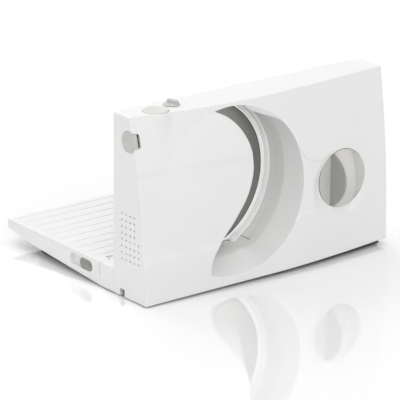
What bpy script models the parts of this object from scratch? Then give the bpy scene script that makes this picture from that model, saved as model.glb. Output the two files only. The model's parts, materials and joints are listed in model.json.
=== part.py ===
"""A compact folding food slicer, seen as it would come apart on a bench.

The slicer is built in bench coordinates, in metres: X runs to the right from the left
side wall, Y runs from the back plane of the housing towards the folding table, and Z
runs up from the surface that the feet stand on. The slices leave on the -Y side. At the
end every piece is hung on one empty, which puts the origin at the middle of the
footprint, on the standing surface.
"""

import math

import bmesh
import bpy
import numpy as np
from mathutils import Matrix, Vector

# Driving dimensions of the whole slicer
WIDTH = 0.335
HEIGHT = 0.2014
FACE_DEPTH = 0.0630
TABLE_REACH = 0.1970
LEDGE_DEPTH = 0.0243
TABLE_TOP = 0.0284

# Moulded walls and the clearances between pieces
WALL = 0.0026
SEAM = 0.0003
SLACK = 0.0006
OVERRUN = 0.004

# The face: its depth in front of the back plane, along the top and along the bottom
TOP_DEPTH = 0.0483
TOP_DEPTH_SHARES = ((0.0, 0.556), (0.17, 0.79), (0.24, 0.875), (0.42, 1.0), (0.68, 0.950), (1.0, 0.772))
BOTTOM_DEPTH_SHARES = ((0.0, 0.895), (0.21, 0.932), (0.37, 0.962), (0.58, 1.0), (0.8, 0.955), (1.0, 0.862))
LEAN_POWER_SHARE = 2.1
EDGE_LIFT_LEFT = 0.0018
EDGE_LIFT_RIGHT = 0.0064
CORNER_RADIUS = 0.012
STATIONS = 24
RISERS = 13

# The blade and what turns with it
BLADE_X = 0.112
BLADE_Z = 0.108
BLADE_RADIUS = 0.085
BLADE_THICK = 0.0013
BLADE_BACK = 0.0006
BLADE_DISH = 0.0016
BLADE_BEVEL = 0.007
BLADE_EDGE = 0.0003
BLADE_FLAT_RADIUS = 0.032
BLADE_BORE = 0.0075
TOOTH_DEPTH = 0.0008
BLADE_TEETH = 96

# The drive: tooth sizes and counts of the blade gear, the double gear and the worm
GEAR_MODULE = 0.0015
GEAR_TEETH = 60
PINION_TEETH = 12
WHEEL_MODULE = 0.00125
WHEEL_TEETH = 24
WORM_RADIUS = 0.005
WORM_TURNS = 5.25
WORM_STEPS = 18
WORM_FADE = 9
WORM_SINK = 0.0006
WORM_PHASE = 0.0
WHEEL_PHASE = math.pi + math.pi / WHEEL_TEETH
BACKLASH = 0.00032
PRESSURE_ANGLE = math.radians(20)
ADDENDUM_SHARE = 0.85
DEDENDUM_SHARE = 1.2
IDLER_BEARING = math.radians(200)
GEAR_FRONT = 0.0115
GEAR_BACK = 0.0042
WHEEL_FRONT = 0.0385
WHEEL_BACK = 0.0325
HUB_RADIUS = 0.0125
HUB_FRONT = 0.0187
GEAR_WEB = 0.0030
GEAR_RIM = 0.0050
IDLER_CORE = 0.0052
AXLE_RADIUS = 0.0025
SPINDLE_RADIUS = 0.0060
BORE_SLACK = 0.0001
BORE_GAP = 0.0003
HUB_GAP = 0.0020
AXLE_FRONT = 0.0500
AXLE_BACK = 0.0036
AXLE_BOSS = 0.0060

# The pan behind the blade and the chute that the slices leave by
PAN_RADIUS = 0.0870
PAN_FLOOR = 0.0150
PAN_WALL = 0.0025
FACE_CIRCLE_X = 0.119
FACE_CIRCLE_Z = 0.1045
FACE_CIRCLE_RADIUS = 0.0925
CHUTE_RADIUS = 0.0930
CHUTE_NECK = 0.040
CHUTE_BACK = 0.0040
CHUTE_SIDE_BACK = 0.0195
CHUTE_WALL = 0.0020
CHUTE_FRONT = 0.0900
FACE_OVERLAP = 0.0005
THROAT_RADIUS = 0.060
TIP_TOP = math.radians(103.5)
TIP_BOTTOM = math.radians(-112)
NECK_TOP = math.radians(100)
NECK_BOTTOM = math.radians(-62)
DOME_RISE = 0.0034
DOME_RIM = 0.0008
CREST_X = 0.1428
CREST_Z = 0.1350
CREST_START_X = 0.098
CREST_TOP_Z = 0.1930
CREST_PULL = 0.030
CREST_END_X = 0.0845
CREST_END_Z = 0.0200
CREST_END_PULL = 0.032

# The thickness knob, its seat in the face and the neck that joins it to the chute
KNOB_X = 0.2676
KNOB_Z = 0.0903
KNOB_RADIUS = 0.0325
KNOB_SEAT = 0.0512
KNOB_FRONT = 0.0556
KNOB_CROWN = 0.0155
KNOB_LAND = 0.0012
GRIP_FOOT = 0.0165
GRIP_HALF = 0.0070
SCOOP_DEPTH = 0.0026
SOCKET_DEPTH = 0.0030
DOME_RINGS = 7
SEAT_WALL = 0.003
SEAT_EXTRA = 0.0085
DISH_DEPTH = 0.0545
DISH_RADIUS = 0.0345
SEAT_FLARE_SHARE = 2.2
SEAT_REACH = 0.010
NECK_RADIUS = 0.029
NECK_UPPER_X = 0.2355
NECK_UPPER_Z = 0.1455
NECK_LOWER_X = 0.2170
NECK_LOWER_Z = 0.0345
NECK_DEPTH = 0.0012
NECK_BACK = 0.0300
NECK_LEFT = 0.1900
NECK_UPPER_START = math.radians(180)
NECK_UPPER_END = math.radians(292)
NECK_LOWER_START = math.radians(40)
NECK_LOWER_END = math.radians(135)
LEAD_RADIUS = 0.0050
NUT_RADIUS = 0.0090
NUT_LENGTH = 0.0260
LEAD_BACK = 0.0188

# The gauge plate, its lip beside the blade and its guides
GAUGE_SKIN = 0.003
GAUGE_LIP_RADIUS = 0.0874
GAUGE_LIP_OUTER = 0.0927
GAUGE_LIP_DEPTH = 0.008
GAUGE_SKIRT_INNER = 0.0954
GAUGE_SKIRT_OUTER = 0.0974
GAUGE_SKIRT_DEPTH = 0.0245
GAUGE_LEFT = 0.1320
GAUGE_RIGHT = 0.3200
GAUGE_BOTTOM = 0.0292
GAUGE_TOP = 0.1979
LIP_BOTTOM = math.radians(-56)
LIP_LAP = math.radians(3)
PANEL_RIGHT = 0.1316
PANEL_TOP = 0.1984
GAUGE_GROOVES = 9
GROOVE_WIDTH = 0.0020
GROOVE_DEPTH = 0.0009
GROOVE_MARGIN = 0.0080
ROD_RADIUS = 0.0030
SLEEVE_RADIUS = 0.0060
SLEEVE_LENGTH = 0.0240
ROD_PLACES = ((0.2290, 0.1680), (0.3080, 0.0450))
ROD_FRONT = 0.0460
ROD_BACK = 0.0180
ROD_POST_END = 0.0400
ROD_POST_RADIUS = 0.0065

# The motor
MOTOR_RADIUS = 0.0155
MOTOR_Y = -0.0355
MOTOR_BOTTOM = 0.0130
MOTOR_TOP = 0.0660
BOSS_RADIUS = 0.0055
BOSS_HEIGHT = 0.0030
SHAFT_RADIUS = 0.0016
SHAFT_DEPTH = 0.0100
SHAFT_LENGTH = 0.0520
FAN_RADIUS = 0.0140
FAN_HUB = 0.0040
FAN_VANE = 0.0012
FAN_THICK = 0.0040
FAN_BLADES = 7
BRACKET_HALF = 0.0085
BRACKET_FLOOR = 0.1025
BRACKET_THICK = 0.0032
BRACKET_TOP = 0.1180
CRADLE_THICK = 0.0030
CRADLE_RISE = 0.0200

# The controls on the top: start button and selector
BOSS_X = 0.0369
BUTTON_Y = -0.0236
BUTTON_RADIUS = 0.0138
BUTTON_PROUD = 0.0012
BUTTON_EDGE = 0.0006
BUTTON_GAP = 0.0004
BUTTON_SKIRT = 0.0060
BOSS_DROP = 0.0255
BUTTON_BOSS_RADIUS = 0.0160
STEM_RADIUS = 0.0036
STEM_LENGTH = 0.0125
SELECTOR_X = 0.0630
SELECTOR_Y = -0.0162
SELECTOR_RADIUS = 0.0090
SELECTOR_THICK = 0.0010
SELECTOR_BAR_LENGTH = 0.0130
SELECTOR_BAR_WIDTH = 0.0044
SELECTOR_BAR_HEIGHT = 0.0037
SELECTOR_BAR_OFF = 0.0020
SELECTOR_STEM = 0.0034
SELECTOR_STEM_LENGTH = 0.0110
SELECTOR_REST = math.radians(11)
ROTARY_HALF = 0.0065
ROTARY_FLOOR = 0.1878
ROTARY_WALL = 0.0020

# The half-moon lock button on the left front edge
LOCK_Y = -0.0260
LOCK_Z = 0.1745
LOCK_RADIUS = 0.0117
LOCK_FLOOR = 0.1638
LOCK_DEPTH = 0.0050
LOCK_TRAVEL = 0.0025
LOCK_STEM_RADIUS = 0.0030
LOCK_STEM_LENGTH = 0.0120
LOCK_DISH_RADIUS = 0.0060
LOCK_DISH_DEPTH = 0.0010
LOCK_DISH_Y = -0.0215
LOCK_DISH_REACH = 0.98

# The switch carrier under the controls
CARRIER_FLOOR = 0.1560
CARRIER_WALL = 0.0020
CARRIER_LEFT = 0.0130
CARRIER_RIGHT = 0.0600
CARRIER_FRONT = 0.0330
CARRIER_PAN_LEFT = 0.0440
CARRIER_LOW = 0.1300
SWITCH_MARGIN = 0.0015
SWITCH_HALF = 0.0100
SWITCH_DEPTH = 0.0056
SWITCH_TOP = 0.1812

# Vents and the cord notch in the left wall
VENT_ROWS = 8
VENT_COLUMNS = 5
VENT_PITCH = 0.0072
VENT_RADIUS = 0.00125
VENT_FIRST_Y = -0.0143
VENT_FIRST_Z = 0.0438
VENT_SIDES = 6
NOTCH_NEAR_Y = -0.0108
NOTCH_WIDTH = 0.0082
NOTCH_TOP = 0.0095

# The base plate, its feet and the screws
BASE_BOTTOM = 0.0015
BASE_THICK = 0.0030
BASE_INSET = 0.0045
BASE_RIGHT_INSET = 0.0080
BASE_LEFT = 0.0060
FOOT_RADIUS = 0.0080
FOOT_POCKET = 0.0018
FOOT_INSET_X = 0.0200
FOOT_FRONT_Y = -0.0400
FOOT_BACK_Y = 0.0120
SCREW_HEAD = 0.0030
SCREW_HEAD_HEIGHT = 0.0012
SCREW_SLOT = 0.0008
SCREW_SINK = 0.0017
SCREW_SHANK = 0.0014
SCREW_LENGTH = 0.0100
POST_RADIUS = 0.0042
POST_BORE = 0.0017
POST_DEPTH = 0.0160
BASE_SCREW_XS = (0.0900, 0.2900)
BASE_SCREW_INSET = 0.0120
BASE_SCREW_BACK = 0.0120
BASE_POST_TOP = 0.0220
RIB_HALF = 0.0012
BACK_SCREW_PLACES = ((0.0115, 0.1905), (0.0115, 0.0300))
LEDGE_WALL = 0.0030
LEDGE_FRONT_FLOOR = 0.0048
LEDGE_BRIDGE_TOP = 0.0200

# The folding table, its hinge and its lock
HINGE_Y = 0.0293
HINGE_Z = 0.0239
HINGE_PIN_RADIUS = 0.0016
KNUCKLE_RADIUS = 0.0045
EAR_WIDTH = 0.0080
EAR_PLACES = (0.0140, 0.3130)
EAR_FLOOR = 0.0150
EAR_SLOT_FAR = 0.0362
HINGE_PIN_OVERHANG = 0.0060
TABLE_POCKET_NEAR = 0.0380
SIDE_SLOT_LOW = 0.0150
SIDE_SLOT_HIGH = 0.0250
SIDE_SLOT_WIDTH = 0.0018
SIDE_SLOT_DEPTH = 0.0012
TABLE_SKIN = 0.0032
TABLE_SKIRT = 0.0030
TABLE_END_THICK = 0.0103
TABLE_KNEE_Y = 0.1490
TABLE_KNEE_Z = 0.0113
TABLE_LOW = 0.0020
RIB_PITCH = 0.0163
RIB_COUNT = 10
RIB_FIRST_Y = 0.0420
RIB_GROOVE = 0.0030
RIB_DEPTH = 0.0009
RIB_MARGIN = 0.0080
SUPPORT_INSET = 0.0100
SUPPORT_NEAR = 0.0420
SUPPORT_FAR = 0.1560
SUPPORT_SLANT = 0.0080
SUPPORT_WALL = 0.0030
SUPPORT_BOTTOM = 0.0015
TABLE_FOOT_Y = 0.1340
TABLE_FOOT_X = 0.0280
LATCH_NEAR = 0.0386
LATCH_FAR = 0.0805
LATCH_Z = 0.0176
LATCH_HALF = 0.0064
LATCH_POCKET = 0.0050
LATCH_LENGTH = 0.0235
LATCH_CUP_RADIUS = 0.0052
LATCH_CUP_DEPTH = 0.0024
LATCH_CUP_SHARE = 0.38
LATCH_CUP_STRETCH = 1.5
LATCH_FRAME = 0.0024
LATCH_BLOCK = 0.0085

# The centre lock of the blade on the food side
CAP_LOCK_RADIUS = 0.0150
CAP_LOCK_THICK = 0.0030
CAP_LOCK_BAR = 0.0048
CAP_LOCK_RISE = 0.0036
CAP_LOCK_STEM = 0.0060
CAP_LOCK_TIP = 0.0065
SPINDLE_BACK = 0.0072
SPINDLE_FRONT = 0.0500
SPINDLE_BOSS = 0.0110
SPINDLE_BOSS_END = 0.0195

SIDES = 32
SMALL_SIDES = 16
CIRCLE_POINTS = 56
ARC_POINTS = 26
SMOOTH_ANGLE = math.radians(32)
TURN = 2 * math.pi

COLOURS = {
    "white plastic": ((0.86, 0.86, 0.855), 0.42, 0.0),
    "grey plastic": ((0.66, 0.65, 0.63), 0.38, 0.0),
    "dark plastic": ((0.06, 0.06, 0.06), 0.55, 0.0),
    "rubber": ((0.03, 0.03, 0.03), 0.85, 0.0),
    "blade steel": ((0.42, 0.41, 0.39), 0.33, 1.0),
    "steel": ((0.55, 0.55, 0.56), 0.35, 1.0),
    "brass": ((0.70, 0.55, 0.28), 0.35, 1.0),
    "gear plastic": ((0.80, 0.76, 0.66), 0.50, 0.0),
}


def fresh_scene():
    """Empties the scene and makes the collection that holds the slicer."""
    for leftover in list(bpy.data.objects):
        bpy.data.objects.remove(leftover)
    holder = bpy.data.collections.new("food_slicer")
    bpy.context.scene.collection.children.link(holder)
    return holder


SLICER = fresh_scene()
MATERIALS = {}


def material(kind):
    """The Principled material of one kind of surface, made once."""
    if kind not in MATERIALS:
        colour, roughness, metallic = COLOURS[kind]
        made = bpy.data.materials.new(kind)
        made.use_nodes = True
        shader = made.node_tree.nodes["Principled BSDF"]
        shader.inputs["Base Color"].default_value = (*colour, 1.0)
        shader.inputs["Roughness"].default_value = roughness
        shader.inputs["Metallic"].default_value = metallic
        MATERIALS[kind] = made
    return MATERIALS[kind]


def solid(name, points, faces):
    """An object from points and faces, welded, split into triangles and facing outwards."""
    mesh = bpy.data.meshes.new(name)
    mesh.from_pydata([tuple(point) for point in points], [], [tuple(face) for face in faces])
    made = bpy.data.objects.new(name, mesh)
    SLICER.objects.link(made)
    face_out(made, split=True)
    return made


def face_out(made, split=False):
    shape = bmesh.new()
    shape.from_mesh(made.data)
    bmesh.ops.remove_doubles(shape, verts=shape.verts, dist=BORE_SLACK / 100)
    if split:
        bmesh.ops.triangulate(shape, faces=shape.faces)
    bmesh.ops.recalc_face_normals(shape, faces=shape.faces)
    shape.to_mesh(made.data)
    shape.free()


def settle(made):
    """Keeps the shape that the object's modifiers give, and drops the modifiers."""
    bpy.context.view_layer.update()
    graph = bpy.context.evaluated_depsgraph_get()
    shaped = bpy.data.meshes.new_from_object(made.evaluated_get(graph))
    made.modifiers.clear()
    made.data = shaped
    return made


def combine(target, tool, operation):
    modifier = target.modifiers.new(operation, "BOOLEAN")
    modifier.operation = operation
    modifier.use_self = True
    modifier.object = tool
    settle(target)
    bpy.data.objects.remove(tool)
    return target


def cut(target, *tools):
    for tool in tools:
        combine(target, tool, "DIFFERENCE")
    return target


def join(target, *tools):
    for tool in tools:
        combine(target, tool, "UNION")
    return target


def keep(target, tool):
    return combine(target, tool, "INTERSECT")


def box(name, low, high):
    """A block from its low corner to its high corner."""
    shape = bmesh.new()
    bmesh.ops.create_cube(shape, size=1)
    low, high = Vector(low), Vector(high)
    size = high - low
    bmesh.ops.scale(shape, vec=size, verts=shape.verts)
    bmesh.ops.translate(shape, vec=(low + high) / 2, verts=shape.verts)
    mesh = bpy.data.meshes.new(name)
    shape.to_mesh(mesh)
    shape.free()
    made = bpy.data.objects.new(name, mesh)
    SLICER.objects.link(made)
    return made


AXIS_TURNS = {
    "X": Matrix(((0, 0, 1), (0, 1, 0), (-1, 0, 0))).to_4x4(),
    "Y": Matrix(((1, 0, 0), (0, 0, 1), (0, -1, 0))).to_4x4(),
    "Z": Matrix.Identity(4),
}


def rod(name, axis, start, length, radius, end_radius=None, sides=SIDES):
    """A cylinder, or a cone when the end radius differs, from its start point along an axis."""
    shape = bmesh.new()
    last = radius if end_radius is None else end_radius
    bmesh.ops.create_cone(
        shape, cap_ends=True, segments=sides, radius1=radius, radius2=last, depth=length
    )
    bmesh.ops.translate(shape, vec=(0, 0, length / 2), verts=shape.verts)
    place = Matrix.Translation(Vector(start)) @ AXIS_TURNS[axis]
    bmesh.ops.transform(shape, matrix=place, verts=shape.verts)
    mesh = bpy.data.meshes.new(name)
    shape.to_mesh(mesh)
    shape.free()
    made = bpy.data.objects.new(name, mesh)
    SLICER.objects.link(made)
    return made


def tube(name, axis, start, length, radius, bore, sides=SIDES):
    """A round tube: a rod with a bore cut right through it."""
    outer = rod(name, axis, start, length, radius, sides=sides)
    along = AXIS_TURNS[axis] @ Vector((0, 0, 1))
    before = Vector(start) - along * OVERRUN
    inner = rod(name + "_bore", axis, before, length + 2 * OVERRUN, bore, sides=sides)
    return cut(outer, inner)


PLANE_TURNS = {
    "XZ": Matrix(((1, 0, 0), (0, 0, -1), (0, 1, 0))).to_4x4(),
    "YZ": Matrix(((0, 0, 1), (1, 0, 0), (0, 1, 0))).to_4x4(),
    "XY": Matrix.Identity(4),
}
PLANE_NORMALS = {"XZ": Vector((0, 1, 0)), "YZ": Vector((1, 0, 0)), "XY": Vector((0, 0, 1))}


def plate(name, plane, outline, start, end):
    """A flat outline in one plane, made a solid between two places along its normal."""
    curve = bpy.data.curves.new(name, "CURVE")
    curve.dimensions = "2D"
    curve.fill_mode = "BOTH"
    curve.extrude = abs(end - start) / 2
    spline = curve.splines.new("POLY")
    spline.points.add(len(outline) - 1)
    for point, (u, v) in zip(spline.points, outline):
        point.co = (u, v, 0, 1)
    spline.use_cyclic_u = True
    guide = bpy.data.objects.new(name + "_curve", curve)
    SLICER.objects.link(guide)
    bpy.context.view_layer.update()
    graph = bpy.context.evaluated_depsgraph_get()
    mesh = bpy.data.meshes.new_from_object(guide.evaluated_get(graph))
    mesh.transform(Matrix.Translation(PLANE_NORMALS[plane] * (start + end) / 2) @ PLANE_TURNS[plane])
    bpy.data.objects.remove(guide)
    made = bpy.data.objects.new(name, mesh)
    SLICER.objects.link(made)
    face_out(made)
    return made


def turned(name, axis, centre, profile, sides=SIDES):
    """A turned shape: a profile of (radius, along) pairs carried round an axis with Screw."""
    mesh = bpy.data.meshes.new(name)
    points = [(radius, 0, along) for radius, along in profile]
    mesh.from_pydata(points, [(i, i + 1) for i in range(len(points) - 1)], [])
    made = bpy.data.objects.new(name, mesh)
    SLICER.objects.link(made)
    screw = made.modifiers.new("turn", "SCREW")
    screw.steps = sides
    screw.render_steps = sides
    screw.use_merge_vertices = True
    screw.merge_threshold = BORE_SLACK / 10
    settle(made)
    made.data.transform(Matrix.Translation(Vector(centre)) @ AXIS_TURNS[axis])
    face_out(made)
    return made


def arc(centre_u, centre_v, radius, start, end, count):
    """Points of an arc, with both ends, in the order from start to end."""
    angles = np.linspace(start, end, count)
    return [(centre_u + radius * math.cos(a), centre_v + radius * math.sin(a)) for a in angles]


def finish(made, kind, smooth=True):
    """Gives a piece its material and shades its round stretches smooth."""
    made.data.materials.clear()
    made.data.materials.append(material(kind))
    if smooth:
        made.data.shade_smooth()
        made.data.set_sharp_from_angle(angle=SMOOTH_ANGLE)
    return made


# The face of the housing
def eased(x, table, full):
    """A depth along the width, eased through a table of shares with a smooth cubic."""
    places = np.array([place for place, _ in table])
    values = np.array([value for _, value in table])
    slopes = np.gradient(values, places)
    u = min(max(x / WIDTH, 0.0), 1.0)
    i = min(int(np.searchsorted(places, u, side="right")) - 1, len(places) - 2)
    step = places[i + 1] - places[i]
    t = (u - places[i]) / step
    start_blend = 2 * t**3 - 3 * t**2 + 1
    start_slope = t**3 - 2 * t**2 + t
    end_blend = 3 * t**2 - 2 * t**3
    end_slope = t**3 - t**2
    blended = start_blend * values[i] + end_blend * values[i + 1]
    blended += step * (start_slope * slopes[i] + end_slope * slopes[i + 1])
    return full * blended


def face_depth(x, z):
    """How far the face stands in front of the back plane at a place on it."""
    lean = min(max(z / HEIGHT, 0.0), 1.0) ** LEAN_POWER_SHARE
    low = eased(x, BOTTOM_DEPTH_SHARES, FACE_DEPTH)
    high = eased(x, TOP_DEPTH_SHARES, TOP_DEPTH)
    return low + (high - low) * lean


def edge_lift(x):
    """Height of the housing's lower edge, which rises gently to the right."""
    return EDGE_LIFT_LEFT + (EDGE_LIFT_RIGHT - EDGE_LIFT_LEFT) * min(max(x / WIDTH, 0.0), 1.0)


def corner_back(x, inset):
    """Depth of the rounded back corner at the right end, for the wall's outside or inside."""
    radius = CORNER_RADIUS - inset
    along = x - (WIDTH - CORNER_RADIUS)
    if along <= 0:
        return inset
    return CORNER_RADIUS - math.sqrt(max(radius**2 - along**2, 0.0))


def ring_faces(count, sections):
    """Triangles between the rings of a loft, split along the same diagonal everywhere."""
    faces = []
    for section in range(sections - 1):
        a, b = section * count, (section + 1) * count
        for j in range(count):
            k = (j + 1) % count
            faces.append((a + j, a + k, b + k))
            faces.append((a + j, b + k, b + j))
    return faces


def body_loft(name, inset, inside, face_inset=None):
    """A closed loft through upright sections of the body, set in from its outside.

    Each section follows the leaning face from its lower edge to the top. The inside runs
    on past the lower edge and past the back plane, so that it can open the shell there.
    """
    front_inset = inset if face_inset is None else face_inset
    plain = np.linspace(inset, WIDTH - CORNER_RADIUS, STATIONS)
    round_end = WIDTH - CORNER_RADIUS + (CORNER_RADIUS - inset) * np.sin(
        np.linspace(0, math.pi / 2, RISERS // 2)
    )
    stations = list(plain) + list(round_end[1:])
    if inside:
        lip = WIDTH - CORNER_RADIUS - WALL
        stations = [x for x in stations if abs(x - lip) > SEAM] + [lip, lip + SEAM]
        stations.sort()
    points = []
    for x in stations:
        low = -OVERRUN if inside else edge_lift(x)
        high = HEIGHT - inset
        for z in np.linspace(low, high, RISERS):
            points.append((x, front_inset - face_depth(x, z), z))
        open_back = inside and x <= WIDTH - CORNER_RADIUS - WALL + SEAM / 2
        back = OVERRUN if open_back else -corner_back(x, inset)
        back = max(back, front_inset - face_depth(x, high) + SEAM)
        points.append((x, back, high))
        points.append((x, back, low))
    ring = RISERS + 2
    faces = [tuple(range(ring)), tuple(reversed(range(len(points) - ring, len(points))))]
    faces += ring_faces(ring, len(stations))
    return solid(name, points, faces)


def dome_cap(name):
    """The shallow dome over the drive: rings on the face, raised towards the middle."""
    shares = (0.28, 0.52, 0.72, 0.87, 0.96)
    radii = [FACE_CIRCLE_RADIUS * share for share in shares] + [FACE_CIRCLE_RADIUS + DOME_RIM]
    rises = [DOME_RISE * (1 - share**2.5) for share in shares] + [-DOME_RIM]
    angles = np.linspace(0, TURN, CIRCLE_POINTS, endpoint=False)

    def on_face(radius, angle, rise):
        x = FACE_CIRCLE_X + radius * math.cos(angle)
        z = FACE_CIRCLE_Z + radius * math.sin(angle)
        return (x, -face_depth(x, z) - rise, z)

    points = [on_face(0, 0, DOME_RISE)]
    for radius, rise in zip(radii, rises):
        points += [on_face(radius, angle, rise) for angle in angles]
    points += [on_face(radii[-1], angle, -CHUTE_WALL) for angle in angles]
    points.append(on_face(0, 0, -CHUTE_WALL))
    rings = len(radii) + 1
    faces = []
    for j in range(CIRCLE_POINTS):
        k = (j + 1) % CIRCLE_POINTS
        faces.append((0, 1 + k, 1 + j))
        for ring in range(rings - 1):
            a = 1 + ring * CIRCLE_POINTS
            b = a + CIRCLE_POINTS
            faces.append((a + j, a + k, b + k, b + j))
        last = 1 + (rings - 1) * CIRCLE_POINTS
        faces.append((last + j, last + k, len(points) - 1))
    return solid(name, points, faces)


def crest_curve(grow):
    """The dome's front edge in the XZ plane, from the top tip down to the bottom tip.

    A quarter of an ellipse leads down to the crest, and a cubic curve leads on from it.
    A positive grow moves the curve towards the dome, to leave a wall beside the chute.
    """
    points = []
    for angle in np.linspace(math.pi / 2, 0, ARC_POINTS // 2, endpoint=False):
        x = CREST_START_X + (CREST_X - CREST_START_X - grow) * math.cos(angle)
        z = CREST_Z + (CREST_TOP_Z - CREST_Z - grow) * math.sin(angle)
        points.append((x, z))
    low = [
        (CREST_X - grow, CREST_Z),
        (CREST_X - grow, CREST_Z - CREST_PULL),
        (CREST_END_X - grow, CREST_END_Z + CREST_END_PULL),
        (CREST_END_X - grow, CREST_END_Z),
    ]
    for t in np.linspace(0, 1, ARC_POINTS - ARC_POINTS // 2):
        weights = ((1 - t) ** 3, 3 * t * (1 - t) ** 2, 3 * t**2 * (1 - t), t**3)
        x = sum(w * p[0] for w, p in zip(weights, low))
        z = sum(w * p[1] for w, p in zip(weights, low))
        points.append((x, z))
    return points


def chute_loft(name, grow):
    """The space that the slices leave by, lofted from the face back to the blade.

    The outer side starts on the circle of the face and runs straight back from the neck
    round the blade. The inner side leads from the dome's front edge to the throat behind
    the blade. A positive grow thickens the space on all sides, for the walls round it.
    """
    widen = 1.6 * grow / THROAT_RADIUS
    tip = 2.5 * grow / FACE_CIRCLE_RADIUS
    face_radius = FACE_CIRCLE_RADIUS + grow
    neck_radius = CHUTE_RADIUS + grow
    start, end = TIP_TOP + tip, TIP_BOTTOM - tip
    outer_face = arc(FACE_CIRCLE_X, FACE_CIRCLE_Z, face_radius, start, end, ARC_POINTS)
    inner_face = crest_curve(grow)
    start, end = NECK_TOP + widen, NECK_BOTTOM - widen
    outer_neck = arc(BLADE_X, BLADE_Z, neck_radius, start, end, ARC_POINTS)
    inner_neck = arc(BLADE_X, BLADE_Z, THROAT_RADIUS - grow, start, end, ARC_POINTS)
    face_ring = outer_face + inner_face[::-1]
    back_ring = outer_neck + inner_neck[::-1]
    sections = [[(x, -CHUTE_FRONT, z) for x, z in face_ring]]
    sections.append([(x, -face_depth(x, z), z) for x, z in face_ring])
    neck = [(x, -CHUTE_NECK, z) for x, z in outer_neck]
    for (x, z), (back_x, back_z) in zip(face_ring[ARC_POINTS:], back_ring[ARC_POINTS:]):
        share = (face_depth(x, z) - CHUTE_NECK) / (face_depth(x, z) - CHUTE_BACK)
        neck.append((x + (back_x - x) * share, -CHUTE_NECK, z + (back_z - z) * share))
    sections.append(neck)
    back = -CHUTE_BACK if grow > 0 else SLACK - CHUTE_BACK
    sections.append([(x, back, z) for x, z in back_ring])
    count = len(face_ring)
    points = [point for section in sections for point in section]
    last = len(points) - count
    faces = [tuple(range(count)), tuple(range(len(points) - 1, last - 1, -1))]
    faces += ring_faces(count, len(sections))
    return solid(name, points, faces)


# The shared volumes that several pieces are shaped by
def body(name, inset=0.0, face_inset=None):
    return body_loft(name, inset, False, face_inset)


def chute_space(name, grow):
    """The chute from in front of the face back to the blade, below the top wall."""
    space = chute_loft(name, grow)
    if grow > 0:
        return space
    ceiling = HEIGHT - WALL - SLACK
    return keep(space, box(name + "_limit", (0, -2 * FACE_DEPTH, 0), (WIDTH, 0, ceiling)))


def blade_ring(name, inner, outer, start, end, sides=CIRCLE_POINTS):
    return tube(name, "Y", (BLADE_X, start, BLADE_Z), end - start, outer, inner, sides)


def on_face(x, z, behind=0.0):
    """The depth coordinate of a place that lies behind the face."""
    return behind - face_depth(x, z)


def idler_place():
    reach = GEAR_MODULE * (GEAR_TEETH + PINION_TEETH) / 2
    x = BLADE_X + reach * math.cos(IDLER_BEARING)
    z = BLADE_Z + reach * math.sin(IDLER_BEARING)
    return x, z


IDLER_X, IDLER_Z = idler_place()
MOTOR_X = IDLER_X - WHEEL_MODULE * WHEEL_TEETH / 2 - WORM_RADIUS


# The housing: a leaning shell with its dome, its chute and its knob seat
def half_moon(name, grow, start, end):
    """The outline of the lock button: a disc with its lower part cut off level."""
    radius = LOCK_RADIUS + grow
    floor = LOCK_FLOOR - grow
    dip = math.asin((floor - LOCK_Z) / radius)
    outline = arc(LOCK_Y, LOCK_Z, radius, dip, math.pi - dip, SMALL_SIDES + 1)
    return plate(name, "YZ", outline, start, end)


def vent_cutter(name):
    """All the vent holes in one mesh: short hexagonal rods through the left wall."""
    shape = bmesh.new()
    length = 2 * (WALL + OVERRUN)
    for column in range(VENT_COLUMNS):
        for row in range(VENT_ROWS):
            y = VENT_FIRST_Y - column * VENT_PITCH
            z = VENT_FIRST_Z + row * VENT_PITCH
            place = Matrix.Translation((0, y, z)) @ AXIS_TURNS["X"]
            bmesh.ops.create_cone(
                shape,
                cap_ends=True,
                segments=VENT_SIDES,
                radius1=VENT_RADIUS,
                radius2=VENT_RADIUS,
                depth=length,
                matrix=place,
            )
    mesh = bpy.data.meshes.new(name)
    shape.to_mesh(mesh)
    shape.free()
    made = bpy.data.objects.new(name, mesh)
    SLICER.objects.link(made)
    return made


def neck_outline():
    """The waist between the chute and the knob seat, bounded by two hollow arcs."""
    upper = arc(NECK_UPPER_X, NECK_UPPER_Z, NECK_RADIUS, NECK_UPPER_START, NECK_UPPER_END, SMALL_SIDES)
    lower = arc(NECK_LOWER_X, NECK_LOWER_Z, NECK_RADIUS, NECK_LOWER_START, NECK_LOWER_END, SMALL_SIDES)
    return upper + [(KNOB_X, KNOB_Z)] + lower + [(NECK_LEFT, NECK_LOWER_Z), (NECK_LEFT, NECK_UPPER_Z)]


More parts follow.
